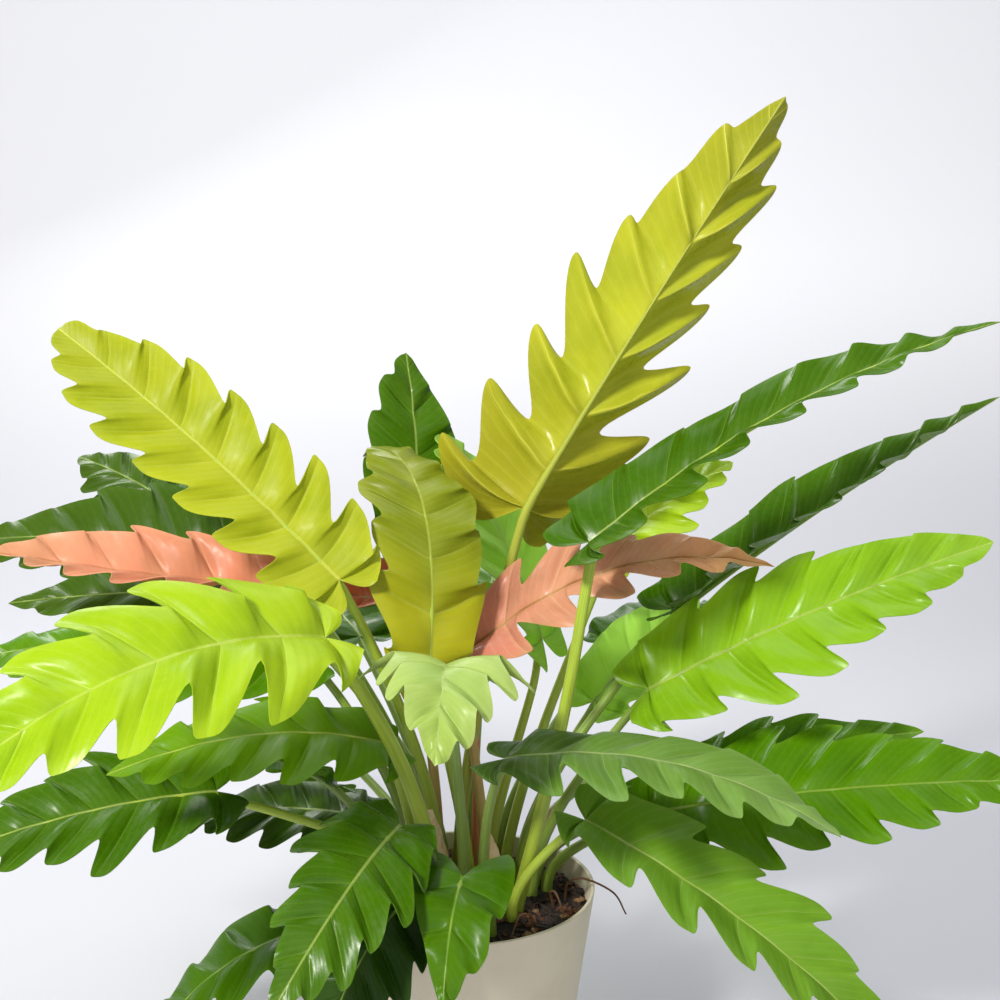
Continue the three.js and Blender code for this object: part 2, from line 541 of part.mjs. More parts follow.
function makeSheath(sheath) {
  const foot = new THREE.Vector3(sheath.foot[0], sheath.foot[1], SOIL_TOP - 10);
  const top = new THREE.Vector3(...sheath.top);
  const upright = foot.clone().setZ(SOIL_TOP + 34);
  const line = new THREE.QuadraticBezierCurve3(foot, upright, top);
  const facing = new THREE.Vector3(...sheath.facing).normalize();
  const across = new THREE.Vector3(0, 0, 1).cross(facing);
  const positions = [];
  const triangles = [];
  const rows = 6;
  const columns = 4;
  for (const layer of [0, 1]) {
    for (let row = 0; row <= rows; row += 1) {
      const share = row / rows;
      const wide = sheath.width * (1 - 0.85 * share ** 2.5);
      for (let column = 0; column <= columns; column += 1) {
        const turn = ((column / columns - 0.5) * 2 * Math.PI) / 3;
        const radius = wide / Math.sqrt(3) + layer * SHEATH_THICKNESS;
        const point = line.getPoint(share);
        point.addScaledVector(across, radius * Math.sin(turn));
        point.addScaledVector(facing, radius * Math.cos(turn) - wide / 2);
        positions.push(point.x, point.y, point.z);
      }
    }
  }
  const stride = columns + 1;
  const layerSize = stride * (rows + 1);
  const quad = (a, b, c, d) => triangles.push(a, b, c, a, c, d);
  for (let row = 0; row < rows; row += 1) {
    for (let column = 0; column < columns; column += 1) {
      const a = row * stride + column;
      quad(a, a + stride, a + stride + 1, a + 1);
      const b = a + layerSize;
      quad(b, b + 1, b + stride + 1, b + stride);
    }
    const left = row * stride;
    quad(left, left + layerSize, left + layerSize + stride, left + stride);
    const right = left + columns;
    quad(right, right + stride, right + stride + layerSize, right + layerSize);
  }
  for (let column = 0; column < columns; column += 1) {
    quad(column, column + 1, column + 1 + layerSize, column + layerSize);
    const high = rows * stride + column;
    quad(high, high + layerSize, high + 1 + layerSize, high + 1);
  }
  return solidOf(positions, triangles);
}

// The slot that a sheath stands in.
function makeSlot(sheath) {
  const geometry = new THREE.BoxGeometry(sheath.width + 5, 0.62 * sheath.width + 5, 26);
  geometry.rotateZ(Math.atan2(sheath.facing[1], sheath.facing[0]) + Math.PI / 2);
  geometry.translate(sheath.foot[0], sheath.foot[1], SOIL_TOP + 3 - GAP);
  return solidOfGeometry(geometry);
}

let soil = makeSoil();
LEAVES.forEach((row, index) => {
  const leaf = { ...PLAIN_LEAF, ...row, seed: index + 2 };
  const rib = makeMidrib(leaf);
  const solid = makeBlade(leaf, rib).add(makeStalk(leaf, rib));
  addPiece(leaf.name, leaf.slot, geometryOfSolid(solid), 0.4);
  soil = soil.subtract(makeHole(leaf, rib));
});
for (const spear of SPEARS) {
  addPiece(spear.name, spear.slot, geometryOfSolid(makeSpear(spear)), 0.6);
  soil = soil.subtract(makeSpearHole(spear));
}
for (const sheath of SHEATHS) {
  addPiece(sheath.name, "sheath", geometryOfSolid(makeSheath(sheath)), 0.8);
  soil = soil.subtract(makeSlot(sheath));
}
addPiece("soil", "soil", geometryOfSolid(soil), 0.95);

export default root;
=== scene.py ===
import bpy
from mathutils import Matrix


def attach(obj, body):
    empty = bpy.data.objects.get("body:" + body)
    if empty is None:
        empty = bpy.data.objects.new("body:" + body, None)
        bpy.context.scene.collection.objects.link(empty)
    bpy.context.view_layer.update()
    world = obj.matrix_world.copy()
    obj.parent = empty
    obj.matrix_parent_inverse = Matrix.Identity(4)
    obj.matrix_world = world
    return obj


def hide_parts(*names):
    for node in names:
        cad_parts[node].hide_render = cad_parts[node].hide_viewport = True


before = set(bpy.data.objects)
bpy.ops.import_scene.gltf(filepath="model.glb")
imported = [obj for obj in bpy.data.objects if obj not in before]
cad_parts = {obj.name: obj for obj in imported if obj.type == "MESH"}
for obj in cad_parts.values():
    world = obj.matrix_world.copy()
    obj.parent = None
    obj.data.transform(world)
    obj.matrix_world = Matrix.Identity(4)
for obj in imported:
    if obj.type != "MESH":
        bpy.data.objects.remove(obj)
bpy.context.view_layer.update()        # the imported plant, in metres, +Z up

import math
import random
import bpy
import numpy as np
from mathutils import Vector

scene = bpy.context.scene
mm = 0.001


# selection and small tools

def pick(*things):
    bpy.ops.object.select_all(action="DESELECT")
    for thing in things:
        thing.select_set(True)
    bpy.context.view_layer.objects.active = things[0]


def useModifier(piece, kind, **values):
    pick(piece)
    modifier = piece.modifiers.new(kind.lower(), kind)
    for key, value in values.items():
        setattr(modifier, key, value)
    bpy.ops.object.modifier_apply(modifier=modifier.name)


def mergeDoubles(piece, distance=0.00001):
    pick(piece)
    bpy.ops.object.mode_set(mode="EDIT")
    bpy.ops.mesh.select_all(action="SELECT")
    bpy.ops.mesh.remove_doubles(threshold=distance)
    bpy.ops.object.mode_set(mode="OBJECT")


def smoothOver(piece, angle=45):
    pick(piece)
    bpy.ops.object.shade_smooth_by_angle(angle=math.radians(angle))


def joinPieces(name, pieces):
    pick(*pieces)
    bpy.ops.object.join()
    piece = bpy.context.view_layer.objects.active
    piece.name = name
    piece.data.name = name
    return piece


def selectTop(piece):
    pick(piece)
    bpy.ops.object.mode_set(mode="EDIT")
    bpy.ops.mesh.select_all(action="DESELECT")
    bpy.ops.object.mode_set(mode="OBJECT")
    for polygon in piece.data.polygons:
        polygon.select = polygon.normal.z > 0.9
    bpy.ops.object.mode_set(mode="EDIT")
    bpy.ops.mesh.select_mode(type="FACE")


def finishPiece(piece, node):
    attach(piece, "root")
    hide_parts(node)


def smoothStep(value, low=0.0, high=1.0):
    share = np.clip((value - low) / (high - low), 0, 1)
    return share * share * (3 - 2 * share)


def unit(rows):
    return rows / np.linalg.norm(rows, axis=-1, keepdims=True)


def scatter(seed, index):
    # the same uneven number between 0 and 1 for the same seed and index
    value = np.sin(seed * 12.9898 + index * 78.233) * 43758.5453
    return value - np.floor(value)


def newGrid(name, columns, rows):
    bpy.ops.mesh.primitive_grid_add(x_subdivisions=columns, y_subdivisions=rows, size=1, calc_uvs=True)
    piece = bpy.context.object
    piece.name = name
    return piece


def gridPlaces(mesh, columns, rows):
    # the column and the row of each point of a new grid
    flat = np.empty(3 * len(mesh.vertices))
    mesh.vertices.foreach_get("co", flat)
    flat = flat.reshape(-1, 3)
    column = np.rint((flat[:, 0] + 0.5) * columns).astype(int)
    return column, np.rint((flat[:, 1] + 0.5) * rows).astype(int)


def cornerPlaces(mesh, columns, rows):
    # the same for each corner of its faces, with the layer that holds them
    layer = mesh.uv_layers[0]
    layer.name = "grain"
    corners = np.empty(2 * len(mesh.loops))
    layer.uv.foreach_get("vector", corners)
    corners = corners.reshape(-1, 2)
    column = np.rint(corners[:, 0] * columns).astype(int)
    return layer, column, np.rint(corners[:, 1] * rows).astype(int)


# camera, lamps and room

view = {
    "place": (0.03116, -1.34896, 0.80841),
    "pitchDown": 13,
    "lens": 67.18,
}

bpy.ops.object.camera_add(location=view["place"], rotation=(math.radians(90 - view["pitchDown"]), 0, 0))
camera = bpy.context.object
camera.data.lens = view["lens"]
camera.data.sensor_width = 36
camera.data.clip_start = 0.02
scene.camera = camera
scene.view_settings.view_transform = "Standard"

lamps = {
    "key": dict(place=(-1.1, -1.85, 2.0), aim=(0, 0, 0.4), size=0.35, power=84, tint=(1, 0.975, 0.9)),
    "front": dict(place=(0.9, -2.2, 1.3), aim=(0, 0, 0.35), size=1.6, power=10, tint=(0.96, 0.98, 1)),
    "above": dict(place=(0.1, 0.5, 2.3), aim=(0, 0.1, 0.4), size=1.4, power=20, tint=(0.97, 0.99, 1)),
    "behind": dict(place=(-0.7, 1.5, 1.5), aim=(0, 0, 0.45), size=1.0, power=22, tint=(1, 1, 0.97)),
}
for lampName, lamp in lamps.items():
    bpy.ops.object.light_add(type="AREA", location=lamp["place"])
    light = bpy.context.object
    light.name = lampName + "Light"
    sight = Vector(lamp["aim"]) - Vector(lamp["place"])
    light.rotation_euler = sight.to_track_quat("-Z", "Y").to_euler()
    light.data.size = lamp["size"]
    light.data.energy = lamp["power"]
    light.data.color = lamp["tint"]

world = bpy.data.worlds.new("softRoom")
world.use_nodes = True
room = world.node_tree.nodes["Background"].inputs
room["Color"].default_value = (1, 0.99, 0.97, 1)
room["Strength"].default_value = 0.42
scene.world = world
print("camera, lamps and room are in place")


# shader helpers

def paint(code):
    # a screen colour such as #aabbcc as the linear colour that a shader takes
    parts = [int(code[i:i + 2], 16) / 255 for i in (1, 3, 5)]
    return tuple(c / 12.92 if c <= 0.04045 else ((c + 0.055) / 1.055) ** 2.4 for c in parts) + (1,)


def feed(tree, socket, value):
    if isinstance(value, bpy.types.NodeSocket):
        tree.links.new(value, socket)
    else:
        socket.default_value = value


def maths(tree, operation, first, second=0.0, third=0.0, clamp=False):
    node = tree.nodes.new("ShaderNodeMath")
    node.operation = operation
    node.use_clamp = clamp
    for socket, value in zip(node.inputs, (first, second, third)):
        feed(tree, socket, value)
    return node.outputs[0]


def rangeOf(tree, value, low, high, toLow=0.0, toHigh=1.0, smooth=True):
    node = tree.nodes.new("ShaderNodeMapRange")
    node.interpolation_type = "SMOOTHSTEP" if smooth else "LINEAR"
    labels = ("Value", "From Min", "From Max", "To Min", "To Max")
    for label, item in zip(labels, (value, low, high, toLow, toHigh)):
        feed(tree, node.inputs[label], item)
    return node.outputs["Result"]


def mixColour(tree, factor, first, second, blend="MIX"):
    node = tree.nodes.new("ShaderNodeMix")
    node.data_type = "RGBA"
    node.blend_type = blend
    feed(tree, node.inputs["Factor"], factor)
    feed(tree, node.inputs[6], first)
    feed(tree, node.inputs[7], second)
    return node.outputs[2]


def noiseOf(tree, vector, scale, detail=3.0, roughness=0.55):
    node = tree.nodes.new("ShaderNodeTexNoise")
    feed(tree, node.inputs["Vector"], vector)
    node.inputs["Scale"].default_value = scale
    node.inputs["Detail"].default_value = detail
    node.inputs["Roughness"].default_value = roughness
    return node.outputs[0]


def objectPlace(tree, stretch=(1, 1, 1)):
    place = tree.nodes.new("ShaderNodeTexCoord").outputs["Object"]
    if stretch == (1, 1, 1):
        return place
    mapping = tree.nodes.new("ShaderNodeMapping")
    mapping.inputs["Scale"].default_value = stretch
    tree.links.new(place, mapping.inputs["Vector"])
    return mapping.outputs["Vector"]


def newGroup(name, inputs, outputs):
    group = bpy.data.node_groups.new(name, "ShaderNodeTree")
    for label, value in inputs.items():
        socket = group.interface.new_socket(name=label, in_out="INPUT", socket_type="NodeSocketFloat")
        socket.default_value = value
    for label in outputs:
        group.interface.new_socket(name=label, in_out="OUTPUT", socket_type="NodeSocketFloat")
    given = group.nodes.new("NodeGroupInput").outputs
    return group, given, group.nodes.new("NodeGroupOutput").inputs


def placeGroup(tree, group, **values):
    node = tree.nodes.new("ShaderNodeGroup")
    node.node_tree = group
    for label, value in values.items():
        node.inputs[label.replace("_", " ")].default_value = value
    return node.outputs


def newMaterial(name):
    material = bpy.data.materials.new(name)
    material.use_nodes = True
    tree = material.node_tree
    return material, tree, tree.nodes["Principled BSDF"]


def coverWith(tree, shader, colour, roughness):
    feed(tree, shader.inputs["Base Color"], colour)
    feed(tree, shader.inputs["Roughness"], roughness)


def bumpOn(tree, shader, height, strength, distance):
    bump = tree.nodes.new("ShaderNodeBump")
    bump.inputs["Strength"].default_value = strength
    bump.inputs["Distance"].default_value = distance
    tree.links.new(height, bump.inputs["Height"])
    tree.links.new(bump.outputs["Normal"], shader.inputs["Normal"])


def letLightThrough(tree, shader, colour, share):
    through = tree.nodes.new("ShaderNodeBsdfTranslucent")
    feed(tree, through.inputs["Color"], colour)
    mix = tree.nodes.new("ShaderNodeMixShader")
    mix.inputs["Fac"].default_value = share
    tree.links.new(shader.outputs[0], mix.inputs[1])
    tree.links.new(through.outputs[0], mix.inputs[2])
    tree.links.new(mix.outputs[0], tree.nodes["Material Output"].inputs["Surface"])


def grainOf(tree):
    # the two values of a blade's or a stalk's own map
    grainMap = tree.nodes.new("ShaderNodeUVMap")
    grainMap.uv_map = "grain"
    parts = tree.nodes.new("ShaderNodeSeparateXYZ")
    tree.links.new(grainMap.outputs[0], parts.inputs[0])
    return parts.outputs["X"], parts.outputs["Y"]


def heightOf(tree):
    parts = tree.nodes.new("ShaderNodeSeparateXYZ")
    tree.links.new(objectPlace(tree), parts.inputs[0])
    return parts.outputs["Z"]


# veins of a blade, read from its own map: X is the distance from the midrib in units of 100 mm,
# Y counts the lobes from the foot of the blade to its tip

lobePoint = 0.62    # where a lobe's vein and point stand between one notch and the next
sidePoint = 0.12    # where a fine side vein stands in its own share of a lobe

leafVeins, given, gives = newGroup(
    "leafVeins",
    {"Lobes": 8, "Rib Width": 1.6, "Vein Width": 0.016, "Side Veins": 7},
    ("Along", "Rib", "Veins", "Fine Veins", "Rounding", "Mottling", "Near Rib"),
)
fromRib, lobeCount = grainOf(leafVeins)
across = maths(leafVeins, "MULTIPLY", maths(leafVeins, "ABSOLUTE", fromRib), 100)
along = maths(leafVeins, "DIVIDE", lobeCount, given["Lobes"])
blot = noiseOf(leafVeins, objectPlace(leafVeins), 26, 2)
wander = maths(leafVeins, "MULTIPLY", maths(leafVeins, "SUBTRACT", blot, 0.5), 0.16)
lobePlace = maths(leafVeins, "ADD", lobeCount, wander)


def distanceToLine(tree, place, offset):
    shifted = maths(tree, "FRACT", maths(tree, "ADD", place, 0.5 - offset))
    return maths(tree, "ABSOLUTE", maths(tree, "SUBTRACT", shifted, 0.5))


mainVein = distanceToLine(leafVeins, lobePlace, lobePoint)
thinning = rangeOf(leafVeins, across, 0, 70, 1, 0.35, smooth=False)
width = maths(leafVeins, "MULTIPLY", given["Vein Width"], thinning)
veinInside = maths(leafVeins, "MULTIPLY", width, 0.3)
veins = rangeOf(leafVeins, mainVein, veinInside, maths(leafVeins, "MULTIPLY", width, 1.5), 1, 0)
sidePlace = maths(leafVeins, "MULTIPLY", lobePlace, given["Side Veins"])
sideVein = distanceToLine(leafVeins, sidePlace, sidePoint)
fineVeins = rangeOf(leafVeins, sideVein, 0.02, 0.16, 1, 0)
ribTaper = rangeOf(leafVeins, along, 0, 1, 1, 0.22, smooth=False)
ribEdge = maths(leafVeins, "MULTIPLY", given["Rib Width"], ribTaper)
rib = rangeOf(leafVeins, across, ribEdge, maths(leafVeins, "ADD", ribEdge, 0.7), 1, 0)
sideTurn = maths(leafVeins, "MULTIPLY", maths(leafVeins, "SUBTRACT", sidePlace, sidePoint), 2 * math.pi)
bulge = maths(leafVeins, "COSINE", sideTurn)
mottling = noiseOf(leafVeins, objectPlace(leafVeins), 210, 4)
nearRib = rangeOf(leafVeins, across, 1.5, 16, 1, 0)
for socket, value in zip(gives, (along, rib, veins, fineVeins, bulge, mottling, nearRib)):
    leafVeins.links.new(value, socket)


# every kind of blade: colours from the foot to the tip, of its margin, its veins and its midrib

bladeLooks = {
    "gold": dict(foot="#786200", middle="#bcc129", tip="#545a08", edge="#b4ae2c", vein="#cccb4c",
        rib="#b4b64e", under="#b5b931", rough=0.25, glow=0.16),
    "goldGreen": dict(foot="#b2bc28", middle="#b0ba1e", tip="#a2ac1c", edge="#c4cb40", vein="#c6cc50",
        rib="#ced45a", under="#abb02c", rough=0.42, glow=0.34, coat=0.03),
    "olive": dict(foot="#d0c824", middle="#84911a", tip="#7f8c1e", edge="#a4ae3c", vein="#a8b24a",
        rib="#a2ac44", under="#909a2c", rough=0.34, glow=0.32),
    "salmon": dict(foot="#cf6a52", middle="#e6987a", tip="#ecb08c", edge="#efb894", vein="#dc9a76",
        rib="#c4865a", under="#dd9e7c", rough=0.3, glow=0.32, coat=0.03),
    "coral": dict(foot="#d27a6c", middle="#e2a684", tip="#dfb070", edge="#e8b880", vein="#ecc298",
        rib="#b88a4c", under="#d69a6c", rough=0.27, glow=0.36),
    "lime": dict(foot="#b2cc26", middle="#a8c81a", tip="#9cc210", edge="#b8d23a", vein="#bcd448",
        rib="#bfd452", under="#a6c434", rough=0.3, glow=0.36),
    "paleLime": dict(foot="#a4ba60", middle="#aac268", tip="#a0ba54", edge="#bccd82", vein="#8fae52",
        rib="#a8bc64", under="#a4b85c", rough=0.38, glow=0.3),
    "bright": dict(foot="#84b412", middle="#90c01a", tip="#8cb826", edge="#9cc83c", vein="#a8cc4c",
        rib="#b4cc60", under="#86b02c", rough=0.29, glow=0.34),
    # backlit is painted light: paler greens that stand in for light shining through the leaf from behind
    "backlit": dict(foot="#b4dc56", middle="#c6ec70", tip="#bce06c", edge="#c8e680", vein="#cce888",
        rib="#d0e890", under="#c8ec78", rough=0.38, glow=0.66),
    "middling": dict(foot="#68981a", middle="#74a424", tip="#74a02c", edge="#84ac40", vein="#94b450",
        rib="#a6be64", under="#7ba238", rough=0.36, glow=0.28),
    # sage is the leaf's own grey-green, painted paler and greyer as well to stand in for the pale sheen on
    # it: partly painted sheen
    "sage": dict(foot="#3a5e0a", middle="#6a9036", tip="#7ca04c", edge="#84a65a", vein="#8cac60",
        rib="#a4b874", under="#7f9f50", rough=0.36, glow=0.22),
    "grass": dict(foot="#609000", middle="#6c9e00", tip="#6c9c02", edge="#7ca61c", vein="#88aa28",
        rib="#9cb644", under="#6c9826", rough=0.4, glow=0.34, coat=0.04),
    "fresh": dict(foot="#3e6a00", middle="#467200", tip="#4c7804", edge="#608a16", vein="#5e8a26",
        rib="#6c9432", under="#5e862a", rough=0.32, glow=0.26),
    "green": dict(foot="#4d7e00", middle="#568a00", tip="#5c8e06", edge="#6f9a1c", vein="#789e2a",
        rib="#86a63e", under="#67902a", rough=0.28, glow=0.26),
    "deep": dict(foot="#3c6600", middle="#426c04", tip="#48700e", edge="#5c8222", vein="#688a2c",
        rib="#93a854", under="#8fb048", rough=0.27, glow=0.22),
    "dusk": dict(foot="#345208", middle="#3c5c0c", tip="#425f10", edge="#4e6c1e", vein="#547026",
        rib="#748a40", under="#4a6a30", rough=0.32, glow=0.18),
    # shaded is painted shade: a darker copy of the greens for a leaf that lies in the shadow of the leaves in
    # front
    "shaded": dict(foot="#1e3a04", middle="#254406", tip="#2c4a08", edge="#36561a", vein="#40601e",
        rib="#5a7434", under="#304e18", rough=0.42, glow=0.12),
}


# how strongly each kind of line shows, and which of the look's colours it takes
veinPaints = [
    ("Fine Veins", 0.17, "vein"),
    ("Near Rib", 0.14, "vein"),
    ("Veins", 0.6, "vein"),
    ("Rib", 0.85, "rib"),
]


def bladeMaterial(name, look, lobes, fromBelow):
    material, tree, shader = newMaterial(name)
    pattern = placeGroup(tree, leafVeins, Lobes=lobes, Rib_Width=1.3 if fromBelow else 1.0,
                         Vein_Width=0.02 if fromBelow else 0.014, Side_Veins=7)
    fromFoot = rangeOf(tree, pattern["Along"], 0.02, 0.45)
    colour = mixColour(tree, fromFoot, paint(look["foot"]), paint(look["middle"]))
    colour = mixColour(tree, rangeOf(tree, pattern["Along"], 0.5, 1), colour, paint(look["tip"]))
    if fromBelow:
        colour = mixColour(tree, 0.55, colour, paint(look["under"]))
    margin = tree.nodes.new("ShaderNodeAttribute")
    margin.attribute_name = "edgeShare"
    marginShare = rangeOf(tree, margin.outputs["Fac"], 0.8, 1.0, 0, 0.3)
    colour = mixColour(tree, marginShare, colour, paint(look["edge"]))
    patches = rangeOf(tree, noiseOf(tree, objectPlace(tree), 19, 3), 0.42, 0.66, 0, 0.34)
    shade = mixColour(tree, patches, colour, (0.2, 0.42, 0.12, 1), "MULTIPLY")
    colour = mixColour(tree, 0.6, colour, shade)
    freckles = rangeOf(tree, pattern["Mottling"], 0.5, 0.72, 0, 0.1)
    colour = mixColour(tree, freckles, colour, paint(look["edge"]))
    for label, share, kind in veinPaints:
        colour = mixColour(tree, maths(tree, "MULTIPLY", pattern[label], share), colour, paint(look[kind]))
    raised = -1 if fromBelow else 1
    height = maths(tree, "MULTIPLY", pattern["Rounding"], -0.13 * raised)
    height = maths(tree, "MULTIPLY_ADD", pattern["Veins"], -0.6 * raised, height)
    height = maths(tree, "MULTIPLY_ADD", pattern["Mottling"], 0.35, height)
    bumpOn(tree, shader, height, 0.55, 0.0006)
    dull = rangeOf(tree, pattern["Mottling"], 0.3, 0.7, look["rough"] - 0.05, look["rough"] + 0.09)
    coverWith(tree, shader, colour, dull)
    shader.inputs["Specular IOR Level"].default_value = 0.15
    shader.inputs["Coat Weight"].default_value = 0.04 if fromBelow else look.get("coat", 0.09)
    shader.inputs["Coat Roughness"].default_value = 0.2
    letLightThrough(tree, shader, colour, look["glow"])
    return material


# stalks and midribs: X of their map runs once round, Y is the length in units of 100 mm

stalkGrain, given, gives = newGroup("stalkGrain", {"Streaks": 7}, ("Streak", "Fleck", "Length"))
aroundShare, stalkLength = grainOf(stalkGrain)
turn = maths(stalkGrain, "MULTIPLY", aroundShare, 2 * math.pi)
sideways = maths(stalkGrain, "MULTIPLY", maths(stalkGrain, "COSINE", turn), given["Streaks"])
frontways = maths(stalkGrain, "MULTIPLY", maths(stalkGrain, "SINE", turn), given["Streaks"])
wrap = stalkGrain.nodes.new("ShaderNodeCombineXYZ")
for socket, value in zip(wrap.inputs, (sideways, frontways, stalkLength)):
    stalkGrain.links.new(value, socket)
streak = noiseOf(stalkGrain, wrap.outputs[0], 1.1, 3)
fleck = noiseOf(stalkGrain, wrap.outputs[0], 4.2, 2)
for socket, value in zip(gives, (streak, fleck, stalkLength)):
    stalkGrain.links.new(value, socket)

stalkLooks = {
    "olive": dict(foot="#8e9230", top="#aab240", streak="#74781e", fleck="#bcc062"),
    "limey": dict(foot="#94a636", top="#aac03e", streak="#788c26", fleck="#c2d070"),
    "green": dict(foot="#788e34", top="#88a63a", streak="#5c761e", fleck="#a4b862"),
    "grey": dict(foot="#7c9040", top="#8ca658", streak="#647c34", fleck="#a8b87c"),
    "rosy": dict(foot="#a8944c", top="#bf9662", streak="#8c7c38", fleck="#d2b080"),
}


def stalkMaterial(name, look):
    material, tree, shader = newMaterial(name)
    grain = placeGroup(tree, stalkGrain, Streaks=7)
    fromFoot = rangeOf(tree, grain["Length"], 0.2, 2.6)
    colour = mixColour(tree, fromFoot, paint(look["foot"]), paint(look["top"]))
    colour = mixColour(tree, rangeOf(tree, grain["Streak"], 0.42, 0.7, 0, 0.7), colour, paint(look["streak"]))
    colour = mixColour(tree, rangeOf(tree, grain["Fleck"], 0.6, 0.74, 0, 0.5), colour, paint(look["fleck"]))
    coverWith(tree, shader, colour, rangeOf(tree, grain["Streak"], 0.3, 0.7, 0.36, 0.48))
    bumpOn(tree, shader, grain["Streak"], 0.35, 0.0004)
    shader.inputs["Subsurface Weight"].default_value = 0.12
    shader.inputs["Subsurface Radius"].default_value = (0.004, 0.005, 0.001)
    shader.inputs["Subsurface Scale"].default_value = 1
    return material


stalkMaterials = {key: stalkMaterial(key + "Stalk", look) for key, look in stalkLooks.items()}
bladeMaterials = {}


def bladeLook(key, lobes, fromBelow):
    label = key + ("Under" if fromBelow else "Top") + str(lobes)
    if label not in bladeMaterials:
        bladeMaterials[label] = bladeMaterial(label + "Blade", bladeLooks[key], lobes, fromBelow)
    return bladeMaterials[label]


print("leaf and stalk finishes are mixed")


# leaves, in mm and degrees: where the stalk leaves the soil (foot), where the blade starts and ends (base,
# tip), how it is rolled about its length, arched, and swayed sideways, its half width (half), and how
# that starts at the foot (ear) and narrows to the tip (taper). Then the lobes a side, the depth of
# the notches (cut), how much that fades to the tip, how narrow they are (swell) and how far the lobes
# lean on, how the halves are folded up and curl over, the depth of the pleats and the droop of the
# lobes' points, how thick the stalk is, how far it bows, and how far it rises (lift). look and stem
# name the finishes.

plainLeaf = {
    "roll": 0, "sway": 0, "ear": 0.62, "taper": 2.4, "fade": 0.75, "swell": 2, "lean": 38, "pleat": 3.6,
    "droop": 2.5, "stalk": 4.2, "bow": (0, 0, 0), "lift": 0, "stem": "green",
}

